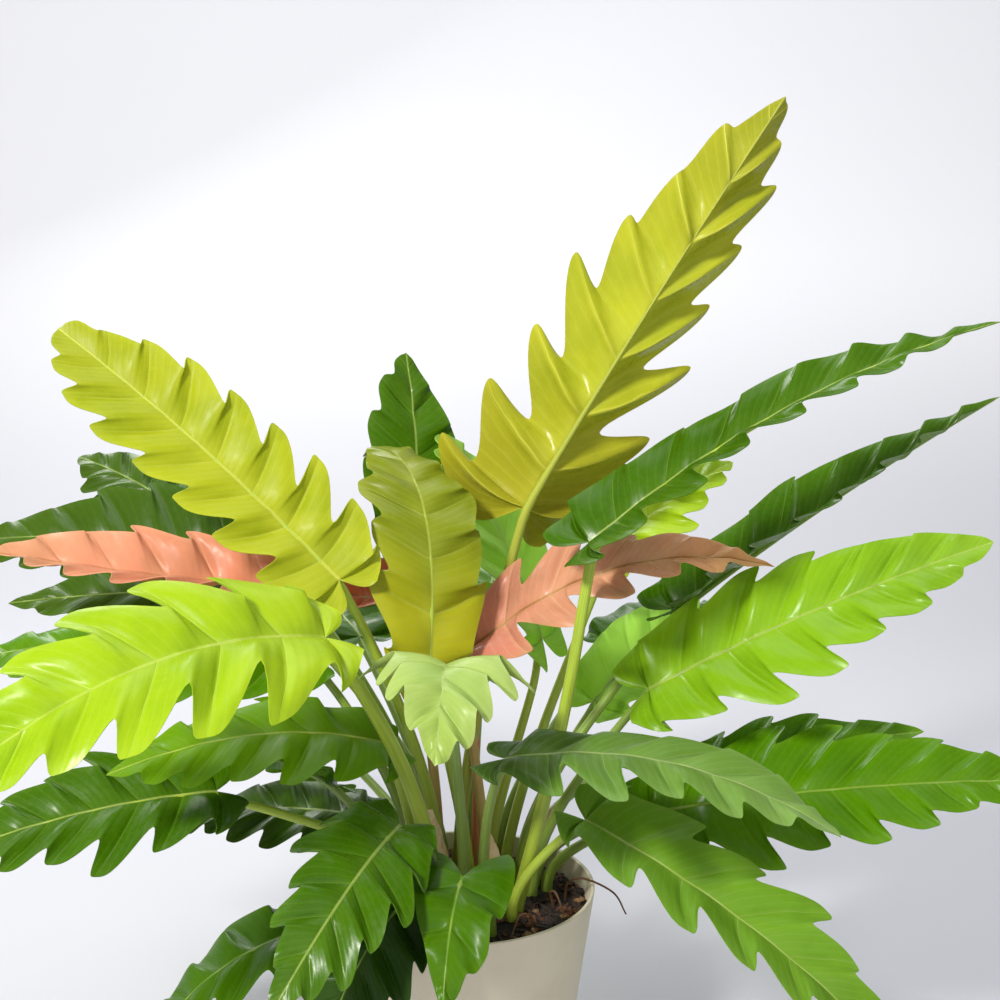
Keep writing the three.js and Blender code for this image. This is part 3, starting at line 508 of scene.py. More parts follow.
leafRows = {
    "leaf_gold_top": dict(foot=(-2, 12), base=(50, 28, 485), tip=(230, -20, 790), roll=-64, arch=4,
        half=80, ear=1.05, taper=2.6, lobes=8, cut=0.74, fade=0.92, swell=1.1, lean=34, fold=32, curl=12,
        stalk=4.8, pleat=9, droop=1, look="gold", stem="olive"),
    "leaf_gold_left": dict(foot=(-14, -2), base=(-84, -60, 452), tip=(-290, 0, 625), roll=-48, arch=8,
        sway=3, half=50, ear=0.76, taper=5, lobes=9, cut=0.62, fade=0.8, swell=2.4, lean=44, fold=15,
        curl=8, stalk=4.6, bow=(0, 20, 0), look="goldGreen", stem="limey"),
    "leaf_olive": dict(foot=(8, -6), base=(-20, -45, 385), tip=(-66, 97, 518), roll=5, arch=60, half=46,
        ear=0.7, taper=4, lobes=7, cut=0.3, lean=40, fold=8, curl=15, stalk=4.4, pleat=3, look="olive",
        stem="limey"),
    "leaf_salmon_left": dict(foot=(-16, 14), base=(-50, 20, 415), tip=(-340, -30, 465), roll=-27, arch=-4,
        half=48, taper=4, lobes=9, cut=0.6, fade=0.8, swell=1.3, lean=40, fold=40, curl=8, pleat=5,
        droop=4, look="salmon", stem="rosy"),
    "leaf_coral_right": dict(foot=(22, 6), base=(8, 3, 378), tip=(240, 22, 440), roll=38, arch=54,
        half=46, taper=2, lobes=7, cut=0.75, fade=0.6, fold=32, curl=25, pleat=5, droop=6, look="coral",
        stem="rosy"),
    "leaf_dark_high": dict(foot=(44, -16), base=(95, -60, 480), tip=(395, 0, 630), roll=15, arch=22,
        half=42, ear=1, lobes=9, cut=0.35, fold=28, curl=12, stalk=5.2, bow=(22, -20, 0), look="deep",
        stem="limey"),
    "leaf_dark_mid": dict(foot=(46, 26), base=(172, 85, 388), tip=(420, 85, 560), roll=12, arch=4,
        half=44, ear=0.9, lobes=9, cut=0.35, fold=40, curl=10, look="deep"),
    "leaf_bright_right": dict(foot=(56, 8), base=(146, 20, 343), tip=(405, 20, 460), roll=44, arch=12,
        half=58, ear=0.66, taper=3.2, lobes=8, cut=0.38, fade=0.65, swell=2.6, fold=14, curl=10, pleat=5,
        droop=4, look="bright"),
    "leaf_front_right": dict(foot=(18, -26), base=(35, -98, 331), tip=(262, -172, 303), roll=5, arch=26,
        half=60, lobes=7, cut=0.55, fold=12, curl=30, look="sage", stem="grey"),
    "leaf_right_mid": dict(foot=(60, 32), base=(165, 60, 242), tip=(372, 70, 290), roll=32, arch=12,
        half=43, lobes=7, cut=0.35, fold=12, curl=15, look="green"),
    "leaf_right_low": dict(foot=(68, 18), base=(150, 5, 248), tip=(455, -20, 284), roll=36, arch=12,
        half=64, lobes=9, cut=0.4, swell=2.6, fold=14, curl=15, look="green"),
    "leaf_low_right": dict(foot=(40, -34), base=(95, -40, 260), tip=(322, -140, 112), roll=18, arch=18,
        half=60, ear=0.6, taper=2.6, lobes=7, cut=0.52, fade=0.5, fold=26, curl=12, look="middling",
        stem="limey"),
    "leaf_chartreuse": dict(foot=(-18, -30), base=(-85, -160, 440), tip=(-305, -320, 388), roll=-32,
        arch=40, sway=6, half=74, ear=0.5, lobes=7, cut=0.66, fade=0.6, swell=2.4, lean=40, fold=20,
        curl=35, stalk=6, pleat=5, droop=5, look="lime", stem="limey"),
    "leaf_front_small": dict(foot=(4, -24), base=(-5, -130, 410), tip=(-10, -240, 380), roll=-4, arch=26,
        half=58, ear=1.15, taper=1.5, lobes=5, cut=0.5, fade=0.9, swell=1.4, fold=16, curl=35, droop=8,
        look="paleLime", stem="grey"),
    "leaf_dark_back": dict(foot=(-22, 42), base=(-160, 120, 430), tip=(-405, 140, 430), roll=-40, arch=12,
        half=60, lobes=7, cut=0.35, fold=12, curl=15, look="dusk"),
    "leaf_dark_far": dict(foot=(-14, 58), base=(-195, 160, 420), tip=(-335, 240, 480), roll=-30, arch=14,
        half=52, lobes=8, cut=0.6, fold=5, curl=30, look="dusk"),
    "leaf_dark_side": dict(foot=(-28, 26), base=(-125, 60, 410), tip=(-355, 60, 400), roll=-40, arch=8,
        half=46, lobes=7, cut=0.4, fold=8, curl=15, look="dusk"),
    "leaf_edge_left": dict(foot=(-32, 8), base=(-110, -5, 375), tip=(-390, -20, 375), roll=-25, arch=20,
        half=52, lobes=8, cut=0.5, fold=8, curl=30, look="green"),
    "leaf_green_low": dict(foot=(-30, -16), base=(-55, -42, 322), tip=(-240, -140, 335), roll=-22,
        arch=22, half=50, lobes=7, cut=0.3, lean=40, fold=8, curl=20, look="grass", stem="limey"),
    "leaf_pale": dict(foot=(-44, -12), base=(-95, -5, 275), tip=(-235, -5, 300), roll=30, arch=14,
        half=42, lobes=8, cut=0.3, fold=10, curl=20, look="green", stem="grey"),
    "leaf_low_dark": dict(foot=(4, -50), base=(-180, -45, 285), tip=(-365, -120, 265), roll=-28, arch=12,
        half=58, lobes=7, cut=0.5, fold=14, curl=20, bow=(0, -8, 0), look="deep", stem="limey"),
    "leaf_front_left": dict(foot=(-30, -70), base=(-40, -110, 285), tip=(-115, -260, 220), roll=-25,
        arch=26, half=54, lobes=7, cut=0.45, fade=0.6, swell=1.8, fold=8, curl=16, look="deep"),
    "leaf_front_low": dict(foot=(-10, -76), base=(-30, -118, 238), tip=(-90, -185, 155), roll=-20,
        arch=22, half=48, ear=0.5, lobes=6, cut=0.25, fold=8, curl=16, look="shaded"),
    "leaf_front_centre": dict(foot=(24, -58), base=(5, -136, 258), tip=(-7, -222, 200), arch=18, half=41,
        ear=1, taper=1.35, lobes=3, cut=0.16, fade=0.95, fold=14, curl=16, look="fresh"),
    "leaf_bottom_left": dict(foot=(-58, -30), base=(-120, -60, 180), tip=(-230, -60, 90), roll=-20,
        arch=16, half=45, lobes=5, cut=0.25, fold=8, curl=16, lift=60, look="fresh"),
    "leaf_back_top": dict(foot=(4, 44), base=(-35, 120, 430), tip=(-45, 150, 585), roll=5, arch=10,
        half=56, taper=1.8, lobes=5, cut=0.18, fold=8, curl=20, look="deep"),
    "leaf_back_light": dict(foot=(22, 34), base=(65, 80, 365), tip=(-15, 110, 525), arch=8, half=76,
        ear=0.52, lobes=7, cut=0.3, fold=8, curl=10, look="backlit", stem="limey"),
    "leaf_back_yellow": dict(foot=(34, 46), base=(115, 120, 415), tip=(225, 170, 490), roll=20, arch=12,
        half=42, lobes=6, cut=0.35, fold=14, curl=15, bow=(12, 24, 0), look="lime", stem="limey"),
    "leaf_back_centre": dict(foot=(48, 56), base=(108, 92, 308), tip=(200, 180, 370), roll=20, arch=10,
        half=44, lobes=6, cut=0.3, fold=14, curl=15, look="backlit"),
    "leaf_back_low": dict(foot=(-48, 20), base=(-75, 35, 232), tip=(-230, 60, 220), roll=-20, arch=10,
        half=44, lobes=7, cut=0.35, fold=8, curl=20, look="dusk"),
    "leaf_rear_left": dict(foot=(-20, 72), base=(-90, 200, 330), tip=(-190, 400, 300), arch=24, half=55,
        lobes=7, cut=0.4, fold=10, curl=20, look="deep"),
    "leaf_rear": dict(foot=(8, 66), base=(20, 210, 360), tip=(40, 420, 310), arch=26, half=55, lobes=7,
        cut=0.4, fold=10, curl=20, look="green"),
    "leaf_rear_right": dict(foot=(30, 66), base=(130, 190, 330), tip=(270, 370, 290), arch=24, half=55,
        lobes=7, cut=0.4, fold=10, curl=20, look="deep"),
    "leaf_rear_low_left": dict(foot=(-38, 58), base=(-110, 170, 240), tip=(-230, 300, 170), arch=22,
        half=50, lobes=6, cut=0.35, fold=10, curl=20, look="green"),
    "leaf_rear_low_right": dict(foot=(54, 70), base=(130, 160, 230), tip=(260, 290, 150), arch=22,
        half=50, lobes=6, cut=0.35, fold=10, curl=20, look="green"),
}

stand = {
    "soilTop": 176,
    "rootDepth": 18,       # how far a stalk goes down into the soil
    "collar": 3,           # how far it stands straight out of it
}

bladeForm = {
    "thickness": 0.55,
    "columns": 12,         # faces from the midrib to the edge, closer together at the midrib
    "columnsCrowd": 1.12,
    "rowsRising": 13,      # rows of faces from a notch to the lobe's point, and from there to the next notch
    "rowsFalling": 10,
    "risingCrowd": 1.25,
    "fallingCrowd": 1.35,
    "widest": 1.08,        # the widest place, as a share of half, and where it is along the blade
    "widestAt": 0.35,
    "tipBlunt": 0.95,
    "fan": 0.12,           # share of the edge whose veins all leave the foot of the blade
    "firstNotch": 0.5,     # how deep the notch nearest the foot is, as a share of the next ones
    "notchesFrom": 0.1,    # where notches start to deepen, are full, and have faded
    "notchesDeep": 0.3,
    "notchesFaded": 0.8,
    "unevenLobes": 0.12,
    "footLean": 42,        # how much more the lobes turn out near the foot, and the very first ones
    "firstLean": 50,
    "firstShare": 0.07,
    "stagger": 0.25,       # how far the lobes of the two sides are set off, as a share of a lobe
    "hook": 0.18,          # how far a lobe's point is drawn on towards the leaf's tip
    "footRound": 0.24,     # how far the foot is rounded out behind the stalk
    "footShare": 0.05,     # and over what share of the length
    "calmFrom": 0.82,      # the blade flattens out from here to here
    "calmTo": 0.98,
    "ruffle": 4,           # how far a notch stands up and a lobe's point hangs down
    "ruffleFade": 0.6,
    "pleatFade": 0.55,
    "pleatPeak": 0.85,
    "footPleat": 0.4,      # the pleats' share at the very foot, and where they are full
    "footPleatTo": 0.16,
    "unevenPleats": 0.3,
    "pleatSwing": 17,
    "pleatShape": 0.7,
    "groove": 0.7,         # how sharply the main vein lies in its pleat, and how wide it is
    "grooveShare": 0.08,
    "wave": 2.5,           # how far the whole margin swings up and down along the leaf
    "waveSwing": 11,
    "waveSeed": 2.1,
    "waveFull": 0.2,
    "lobeTwist": 5,
}


def makeMidrib(leaf):
    base, tip = np.array(leaf["base"], float), np.array(leaf["tip"], float)
    direction = unit(tip - base)
    up = unit(np.array([0, 0, 1.0]) - direction * direction[2])
    side = np.cross(direction, up)
    roll = math.radians(leaf["roll"])
    normal = up * math.cos(roll) + side * math.sin(roll)
    across = side * math.cos(roll) - up * math.sin(roll)
    bend = (base + tip) / 2 + normal * 2 * leaf["arch"] + across * 2 * leaf["sway"]
    rib = {"base": base, "bend": bend, "tip": tip, "normal": normal}
    points = midribAt(rib, np.linspace(0, 1, 201))[0]
    rib["length"] = np.linalg.norm(np.diff(points, axis=0), axis=1).sum()
    return rib


def midribAt(rib, share):
    s = np.asarray(share, float)[..., None]
    place = rib["base"] * (1 - s) ** 2 + rib["bend"] * 2 * s * (1 - s) + rib["tip"] * s * s
    direction = unit((rib["bend"] - rib["base"]) * (1 - s) + (rib["tip"] - rib["bend"]) * s)
    up = unit(rib["normal"] - direction * (direction @ rib["normal"])[..., None])
    return place, direction, up, np.cross(direction, up)


def bladePoints(leaf, rib, side, q, along):
    # points at a share along the blade and a share q from the midrib to the edge
    form = bladeForm
    lobes, half = leaf["lobes"], leaf["half"]
    u = np.minimum(along * lobes, lobes - 1e-9)
    lobe = np.floor(u)
    phase = u - lobe
    toPoint = np.where(phase < lobePoint, phase / lobePoint, (1 - phase) / (1 - lobePoint))
    notch = (0.5 + 0.5 * np.cos(math.pi * toPoint)) ** leaf["swell"]
    uneven = 2 * scatter(leaf["seed"], 2 * lobe + (side > 0)) - 1
    ear = leaf["ear"]
    taper = np.maximum(1 - along ** leaf["taper"], 0) ** form["tipBlunt"]
    outline = taper * (ear + (form["widest"] - ear) * smoothStep(along, 0, form["widestAt"]))
    deepening = smoothStep(along, form["notchesFrom"], form["notchesDeep"])
    first = form["firstNotch"] + (1 - form["firstNotch"]) * deepening
    faded = leaf["fade"] * smoothStep(along, form["notchesFrom"], form["notchesFaded"])
    depth = leaf["cut"] * first * (1 - faded)
    reach = half * outline * (1 - depth * notch) * (1 + form["unevenLobes"] * uneven * (1 - notch))
    firstLean = form["firstLean"] * np.exp(-along / form["firstShare"])
    lean = np.radians(leaf["lean"] + form["footLean"] * (1 - along) + firstLean)
    stagger = -side * form["stagger"] * (rib["length"] / lobes) * np.sin(math.pi * along)
    root = np.maximum(0, (along - form["fan"]) / (1 - form["fan"]))
    hook = form["hook"] * reach * (1 - notch) * q * q
    forward = rib["length"] * root + q * reach * np.cos(lean) + hook + stagger * q
    forward -= form["footRound"] * reach * np.sin(math.pi * q) * np.exp(-along / form["footShare"])
    out = q * reach * np.sin(lean)
    place, direction, up, right = midribAt(rib, forward / rib["length"])
    fold = math.radians(leaf["fold"])
    curve = math.radians(leaf["curl"]) / half
    sideways = (math.sin(fold) - np.sin(fold - curve * out)) / curve
    rise = (np.cos(fold - curve * out) - math.cos(fold)) / curve
    calm = 1 - smoothStep(along, form["calmFrom"], form["calmTo"])
    rise += form["ruffle"] * (2 * notch - 1) * (1 - form["ruffleFade"] * along) * calm * q * q
    pleat = leaf["pleat"] * (1 - form["pleatFade"] * along) * calm
    pleat = pleat * np.sin(math.pi * q ** form["pleatPeak"])
    footShare = form["footPleat"] + (1 - form["footPleat"]) * smoothStep(along, 0, form["footPleatTo"])
    pleat = pleat * footShare * (1 + form["unevenPleats"] * np.sin(form["pleatSwing"] * along + leaf["seed"]))
    fromVein = phase - lobePoint
    groove = form["groove"] * np.exp(-(fromVein / form["grooveShare"]) ** 2)
    rise -= pleat * (form["pleatShape"] * np.cos(2 * math.pi * fromVein) + groove)
    wave = np.sin(form["waveSwing"] * along + form["waveSeed"] * leaf["seed"] + side)
    rise += form["wave"] * wave * smoothStep(along, 0, form["waveFull"]) * calm * q * q
    rise -= leaf["droop"] * (1 - notch) * calm * q ** 4
    twist = scatter(leaf["seed"], 60 + 2 * lobe + (side > 0)) - 0.5
    rise += form["lobeTwist"] * twist * (1 - notch) * (1 - along) * q ** 3
    point = place + right * (side * sideways)[..., None] + up * rise[..., None]
    return point, side * out / 100, u


def rowShares(lobes):
    up = np.linspace(0, 1, bladeForm["rowsRising"], endpoint=False)
    down = np.linspace(0, 1, bladeForm["rowsFalling"], endpoint=False)
    rising = lobePoint * (1 - (1 - up) ** bladeForm["risingCrowd"])
    falling = lobePoint + (1 - lobePoint) * down ** bladeForm["fallingCrowd"]
    phases = np.concatenate([rising, falling])
    rows = np.concatenate([lobe + phases for lobe in range(lobes)] + [[lobes]])
    return rows / lobes


def makeBlade(name, leaf, rib):
    rows = rowShares(leaf["lobes"])
    columns = 2 * bladeForm["columns"]
    blade = newGrid(name, columns, len(rows) - 1)
    mesh = blade.data
    spread = np.linspace(-1, 1, columns + 1)

    def grownAt(column, row):
        side = np.where(spread[column] < 0, -1.0, 1.0)
        q = np.abs(spread[column]) ** bladeForm["columnsCrowd"]
        return q, *bladePoints(leaf, rib, side, q, rows[row])

    q, points, _, _ = grownAt(*gridPlaces(mesh, columns, len(rows) - 1))
    mesh.vertices.foreach_set("co", (points * mm).ravel())
    layer, column, row = cornerPlaces(mesh, columns, len(rows) - 1)
    _, _, outward, lobePlaces = grownAt(column, row)
    layer.uv.foreach_set("vector", np.column_stack([outward, lobePlaces]).ravel())
    edge = mesh.attributes.new("edgeShare", "FLOAT", "POINT")
    edge.data.foreach_set("value", q)
    mesh.update()
    mergeDoubles(blade)
    mesh.materials.append(bladeLook(leaf["look"], leaf["lobes"], False))
    mesh.materials.append(bladeLook(leaf["look"], leaf["lobes"], True))
    useModifier(blade, "SOLIDIFY", thickness=bladeForm["thickness"] * mm, offset=-1, material_offset=1)
    return blade


def sweepTube(name, centres, radii, sides):
    # rows of a grid wrapped round a path, with a closed pole at each end
    centres = np.asarray(centres, float)
    directions = unit(np.gradient(centres, axis=0))
    centres = np.vstack([centres[:1], centres, centres[-1:]])
    directions = np.vstack([directions[:1], directions, directions[-1:]])
    radii = np.concatenate([[0], radii, [0]])
    across = np.empty_like(centres)
    lead = np.array([1.0, 0, 0])
    for i, direction in enumerate(directions):
        lead = unit(lead - direction * (lead @ direction))
        across[i] = lead
    second = np.cross(directions, across)
    lengths = np.concatenate([[0], np.cumsum(np.linalg.norm(np.diff(centres, axis=0), axis=1))])
    rows = len(centres) - 1
    tube = newGrid(name, sides, rows)
    mesh = tube.data
    column, row = gridPlaces(mesh, sides, rows)
    turn = column / sides * 2 * math.pi
    points = centres[row] + across[row] * (radii[row] * np.cos(turn))[:, None]
    points += second[row] * (radii[row] * np.sin(turn))[:, None]
    mesh.vertices.foreach_set("co", (points * mm).ravel())
    layer, column, row = cornerPlaces(mesh, sides, rows)
    layer.uv.foreach_set("vector", np.column_stack([column / sides, lengths[row] / 100]).ravel())
    mesh.update()
    mergeDoubles(tube)
    return tube


stalkForm = {
    "sides": 14,
    "rows": 30,
    "ribRows": 34,
    "flare": 1.1,          # thickness at the soil, as a share of the middle one, and how much it loses
    "thinning": 0.4,
    "rise": 0.32,          # how far the stalk keeps straight up from the soil, as a share of its span
    "reach": 0.28,         # and straight on into the blade
    "lead": 0.3,
    "knee": 0.07,          # how much the neck thickens under the blade, from here to here
    "kneeFrom": 0.86,
    "kneeTo": 0.99,
    "sink": 0.85,          # how far the neck lies under the blade's face, in radii
    "sinkFrom": 0.78,
    "ribEnd": 0.985,
    "ribTip": 0.42,        # the midrib's radius at the tip (mm), and at the foot as a share of the stalk's
    "ribFoot": 0.74,
    "ribTaper": 1.5,
    "ribFade": 1.2,
    "ribSink": 0.92,
}


def makeStalk(name, leaf, rib):
    form = stalkForm
    radius = leaf["stalk"]
    foot = np.array([*leaf["foot"], stand["soilTop"] + stand["collar"]], float)
    base = rib["base"]
    span = np.linalg.norm(base - foot)
    _, startDirection, startUp, _ = midribAt(rib, 0.0)
    leave = unit(unit(base - foot) + form["lead"] * startDirection)
    bow = np.array(leaf["bow"], float)
    rise = foot + np.array([0, 0, form["rise"] * span]) + bow
    reach = base - leave * form["reach"] * span + bow + np.array([0, 0, leaf["lift"]])
    p = np.linspace(0, 1, form["rows"])[:, None]
    path = foot * (1 - p) ** 3 + rise * 3 * p * (1 - p) ** 2 + reach * 3 * p * p * (1 - p) + base * p ** 3
    p = p[:, 0]
    knee = 1 + form["knee"] * smoothStep(p, form["kneeFrom"], form["kneeTo"])
    sizes = radius * (form["flare"] - form["thinning"] * p) * knee
    path = path - startUp * (form["sink"] * sizes * smoothStep(p, form["sinkFrom"], 1))[:, None]
    buried = np.array([[foot[0], foot[1], stand["soilTop"] - stand["rootDepth"]]])
    s = np.linspace(0, form["ribEnd"], form["ribRows"])[1:]
    place, _, up, _ = midribAt(rib, s)
    ribGrowth = (1 - s) ** form["ribTaper"] * np.exp(-form["ribFade"] * s)
    ribSizes = form["ribTip"] + (form["ribFoot"] * radius - form["ribTip"]) * ribGrowth
    ribPath = place - up * (form["ribSink"] * ribSizes)[:, None]
    centres = np.vstack([buried, path, ribPath])
    radii = np.concatenate([[form["flare"] * radius], sizes, ribSizes])
    joint = len(path)
    for _ in range(2):     # the stalk runs on into the midrib without a corner
        for i in range(joint - 1, joint + 3):
            centres[i] = 0.5 * centres[i] + 0.25 * (centres[i - 1] + centres[i + 1])
    stalk = sweepTube(name, centres, radii, form["sides"])
    stalk.data.materials.append(stalkMaterials[leaf["stem"]])
    return stalk


for index, (node, row) in enumerate(leafRows.items()):
    leaf = {**plainLeaf, **row, "seed": index + 2}
    words = node.split("_")[1:]
    name = words[0] + "".join(word.capitalize() for word in words[1:]) + "Leaf"
    rib = makeMidrib(leaf)
    blade = makeBlade(name, leaf, rib)
    stalk = makeStalk(name + "Stalk", leaf, rib)
    piece = joinPieces(name, [blade, stalk])
    smoothOver(piece, 50)
    finishPiece(piece, node)
print("leaves are grown:", len(leafRows))


# new shoot and the roots above the soil: the first and last radius, where each leaves the soil, and the
# points that it passes through above it

spears = {
    "newShoot": dict(node="new_shoot", radii=(3.6, 0.9), foot=(12, 24), closing=0.75,
        line=[(12, 26, 230), (13, 26, 275), (14, 26, 318)]),
    "rightRoot": dict(node="root_right", radii=(1.05, 0.63), foot=(82, 2), closing=0,
        line=[(84, -2, 192), (96, -12, 200), (118, -22, 193), (128, -24, 176)]),
    "middleRoot": dict(node="root_middle", radii=(1.12, 0.7), foot=(72, -12), closing=0,
        line=[(70, -16, 190), (74, -26, 194), (80, -36, 181)]),
    "frontRoot": dict(node="root_front", radii=(1.12, 0.7), foot=(56, -48), closing=0,
        line=[(54, -52, 188), (46, -60, 192), (40, -70, 181)]),
}


def throughPoints(points, steps):
    # a smooth curve that passes through every point
    points = np.asarray(points, float)
    padded = np.vstack([2 * points[0] - points[1], points, 2 * points[-1] - points[-2]])
    path = []
    for i in range(1, len(padded) - 2):
        a, b, c, d = padded[i - 1:i + 3]
        bend, swing = 2 * a - 5 * b + 4 * c - d, 3 * b - a - 3 * c + d
        for t in np.linspace(0, 1, steps, endpoint=False):
            path.append(0.5 * (2 * b + (c - a) * t + bend * t * t + swing * t ** 3))
    return np.array(path + [points[-1]])


def makeShootMaterial():
    material, tree, shader = newMaterial("redShoot")
    grain = placeGroup(tree, stalkGrain, Streaks=4)
    colour = mixColour(tree, rangeOf(tree, grain["Length"], 0.2, 1.5), paint("#b8875a"), paint("#cf4c46"))
    colour = mixColour(tree, rangeOf(tree, grain["Streak"], 0.45, 0.7, 0, 0.6), colour, paint("#e07a63"))
    coverWith(tree, shader, colour, rangeOf(tree, grain["Streak"], 0.3, 0.7, 0.3, 0.42))
    bumpOn(tree, shader, grain["Streak"], 0.3, 0.0004)
    return material


def makeRootMaterial():
    material, tree, shader = newMaterial("corkyRoot")
    grain = placeGroup(tree, stalkGrain, Streaks=3)
    colour = mixColour(tree, rangeOf(tree, grain["Streak"], 0.35, 0.65), paint("#3a2616"), paint("#6b4626"))
    colour = mixColour(tree, rangeOf(tree, grain["Fleck"], 0.55, 0.7, 0, 0.6), colour, paint("#8e6a40"))
    coverWith(tree, shader, colour, rangeOf(tree, grain["Fleck"], 0.3, 0.7, 0.6, 0.85))
    bumpOn(tree, shader, grain["Fleck"], 0.7, 0.0005)
    return material


shootMaterial = makeShootMaterial()
rootMaterial = makeRootMaterial()
for name, spear in spears.items():
    x, y = spear["foot"]
    path = throughPoints([(x, y, stand["soilTop"] + stand["collar"]), *spear["line"]], 12)
    path = np.vstack([[(x, y, stand["soilTop"] - stand["rootDepth"])], path])
    thick, thin = spear["radii"]
    share = np.concatenate([[0], np.linspace(0, 1, len(path) - 1)])
    radii = thick + (thin - thick) * share ** 1.5
    radii = radii * (1 - spear["closing"] * smoothStep(share, 0.82, 1))
    piece = sweepTube(name, path, radii, 12)
    piece.data.materials.append(shootMaterial if name == "newShoot" else rootMaterial)
    smoothOver(piece, 60)
    finishPiece(piece, spear["node"])
print("shoot and roots are in")


# papery sheaths at the foot of the stalks

sheaths = {
    "leftSheath": dict(node="sheath_left", foot=(-36, -34), top=(-80, -46, 246), width=15,
        facing=(0.5, -0.85, 0)),
    "frontSheath": dict(node="sheath_front", foot=(-12, -12), top=(-22, -24, 262), width=15,
        facing=(0, -1, 0)),
    "middleSheath": dict(node="sheath_middle", foot=(28, -8), top=(22, -14, 238), width=16,
        facing=(0.2, -1, 0)),
    "rightSheath": dict(node="sheath_right", foot=(56, 44), top=(76, 48, 236), width=13,
        facing=(0.4, -1, 0)),
}
sheathForm = {"rows": 40, "columns": 14, "depth": 10, "straight": 34, "narrowing": 0.85}


def makePaperMaterial():
    material, tree, shader = newMaterial("drySheath")
    fibres = noiseOf(tree, objectPlace(tree, (1, 1, 0.08)), 900, 3)
    patches = noiseOf(tree, objectPlace(tree), 45, 3)
    colour = mixColour(tree, rangeOf(tree, patches, 0.35, 0.65), paint("#e0c298"), paint("#f0dcc0"))
    colour = mixColour(tree, rangeOf(tree, fibres, 0.5, 0.7, 0, 0.6), colour, paint("#b88e60"))
    coverWith(tree, shader, colour, rangeOf(tree, fibres, 0.3, 0.7, 0.55, 0.75))
    bumpOn(tree, shader, fibres, 0.5, 0.0004)
    letLightThrough(tree, shader, colour, 0.2)
    return material


paperMaterial = makePaperMaterial()
for name, sheath in sheaths.items():
    foot = np.array([*sheath["foot"], stand["soilTop"] - sheathForm["depth"]], float)
    top = np.array(sheath["top"], float)
    middle = np.array([foot[0], foot[1], stand["soilTop"] + sheathForm["straight"]])
    facing = unit(np.array(sheath["facing"], float))
    across = np.cross([0, 0, 1.0], facing)
    piece = newGrid(name, sheathForm["columns"], sheathForm["rows"])
    seed = len(name) + sheath["width"]
    for vertex in piece.data.vertices:
        share = min(1, max(0, vertex.co.y + 0.5))
        wide = sheath["width"] * (1 - sheathForm["narrowing"] * share ** 2.5)
        ragged = 0.12 * math.sin(31 * share + seed) * abs(2 * vertex.co.x) ** 3 * share
        turn = (vertex.co.x * (1 + ragged)) * 2 * math.pi / 3
        crinkle = 0.35 * math.sin(26 * vertex.co.x + 9 * share + seed) * share
        radius = wide / math.sqrt(3) + 0.8 + crinkle
        place = foot * (1 - share) ** 2 + middle * 2 * share * (1 - share) + top * share * share
        place = place + across * radius * math.sin(turn) + facing * (radius * math.cos(turn) - wide / 2)
        vertex.co = place * mm
    piece.data.materials.append(paperMaterial)
    useModifier(piece, "SOLIDIFY", thickness=0.0004, offset=0)
    smoothOver(piece, 60)
    finishPiece(piece, sheath["node"])
print("sheaths are in")


# pot

pot = {"height": 190, "rim": 105, "foot": 78, "wall": 3, "floor": 4, "facets": 160, "rimRound": 1.1}


def insideRadius(height):
    return pot["foot"] + (pot["rim"] - pot["foot"]) * height / pot["height"] - pot["wall"]


def makePotMaterial():
    material, tree, shader = newMaterial("creamPot")
    cloud = noiseOf(tree, objectPlace(tree), 14, 3)
    grit = noiseOf(tree, objectPlace(tree), 1500, 2)
    colour = mixColour(tree, rangeOf(tree, cloud, 0.35, 0.65), paint("#cec4ac"), paint("#d6ccb6"))
    colour = mixColour(tree, rangeOf(tree, grit, 0.6, 0.75, 0, 0.25), colour, paint("#b9ae94"))
    # the pot's colour turns darker towards its bottom, with an uneven upper edge to the darkening
    unevenHeight = maths(tree, "MULTIPLY_ADD", cloud, 0.012, heightOf(tree))
    darkerAtBottom = rangeOf(tree, unevenHeight, 0.0, 0.02, 0.4, 0)
    colour = mixColour(tree, darkerAtBottom, colour, paint("#b4a98f"))
    coverWith(tree, shader, colour, rangeOf(tree, cloud, 0.3, 0.7, 0.42, 0.52))
    bumpOn(tree, shader, grit, 0.12, 0.0002)
    return material


bpy.ops.mesh.primitive_cone_add(vertices=pot["facets"], radius1=pot["foot"] * mm, radius2=pot["rim"] * mm,
                                depth=pot["height"] * mm, location=(0, 0, pot["height"] / 2 * mm))
potPiece = bpy.context.object
potPiece.name = "creamPlasticPot"
bpy.ops.object.transform_apply(location=True)
selectTop(potPiece)
bpy.ops.mesh.inset(thickness=pot["wall"] * mm)
downward = (pot["floor"] - pot["height"]) * mm
bpy.ops.mesh.extrude_region_move(TRANSFORM_OT_translate={"value": (0, 0, downward)})
shrink = insideRadius(pot["floor"]) / (pot["rim"] - pot["wall"])
bpy.ops.transform.resize(value=(shrink, shrink, 1), center_override=(0, 0, pot["floor"] * mm))
bpy.ops.object.mode_set(mode="OBJECT")
useModifier(potPiece, "BEVEL", width=pot["rimRound"] * mm, segments=4, limit_method="ANGLE",
            angle_limit=math.radians(40))
potPiece.data.materials.append(makePotMaterial())
smoothOver(potPiece, 35)
finishPiece(potPiece, "pot")
print("pot is turned")


# potting mix with bark chips

soil = {"gap": 0.35, "edgeDrop": 4, "edgeFrom": 88, "edgeWidth": 12, "rings": 26, "facets": 120,
        "lump": 4.2, "chips": 420, "chipsWithin": 96}


def makeSoilMaterial():
    material, tree, shader = newMaterial("pottingMix")
    crumbs = noiseOf(tree, objectPlace(tree), 420, 5, 0.7)
    patches = noiseOf(tree, objectPlace(tree), 60, 3)
    colour = mixColour(tree, rangeOf(tree, crumbs, 0.4, 0.62), paint("#0d0806"), paint("#21160f"))
    colour = mixColour(tree, rangeOf(tree, patches, 0.52, 0.7, 0, 0.5), colour, paint("#38291b"))
    coverWith(tree, shader, colour, 0.92)
    bumpOn(tree, shader, crumbs, 0.9, 0.0025)
    return material


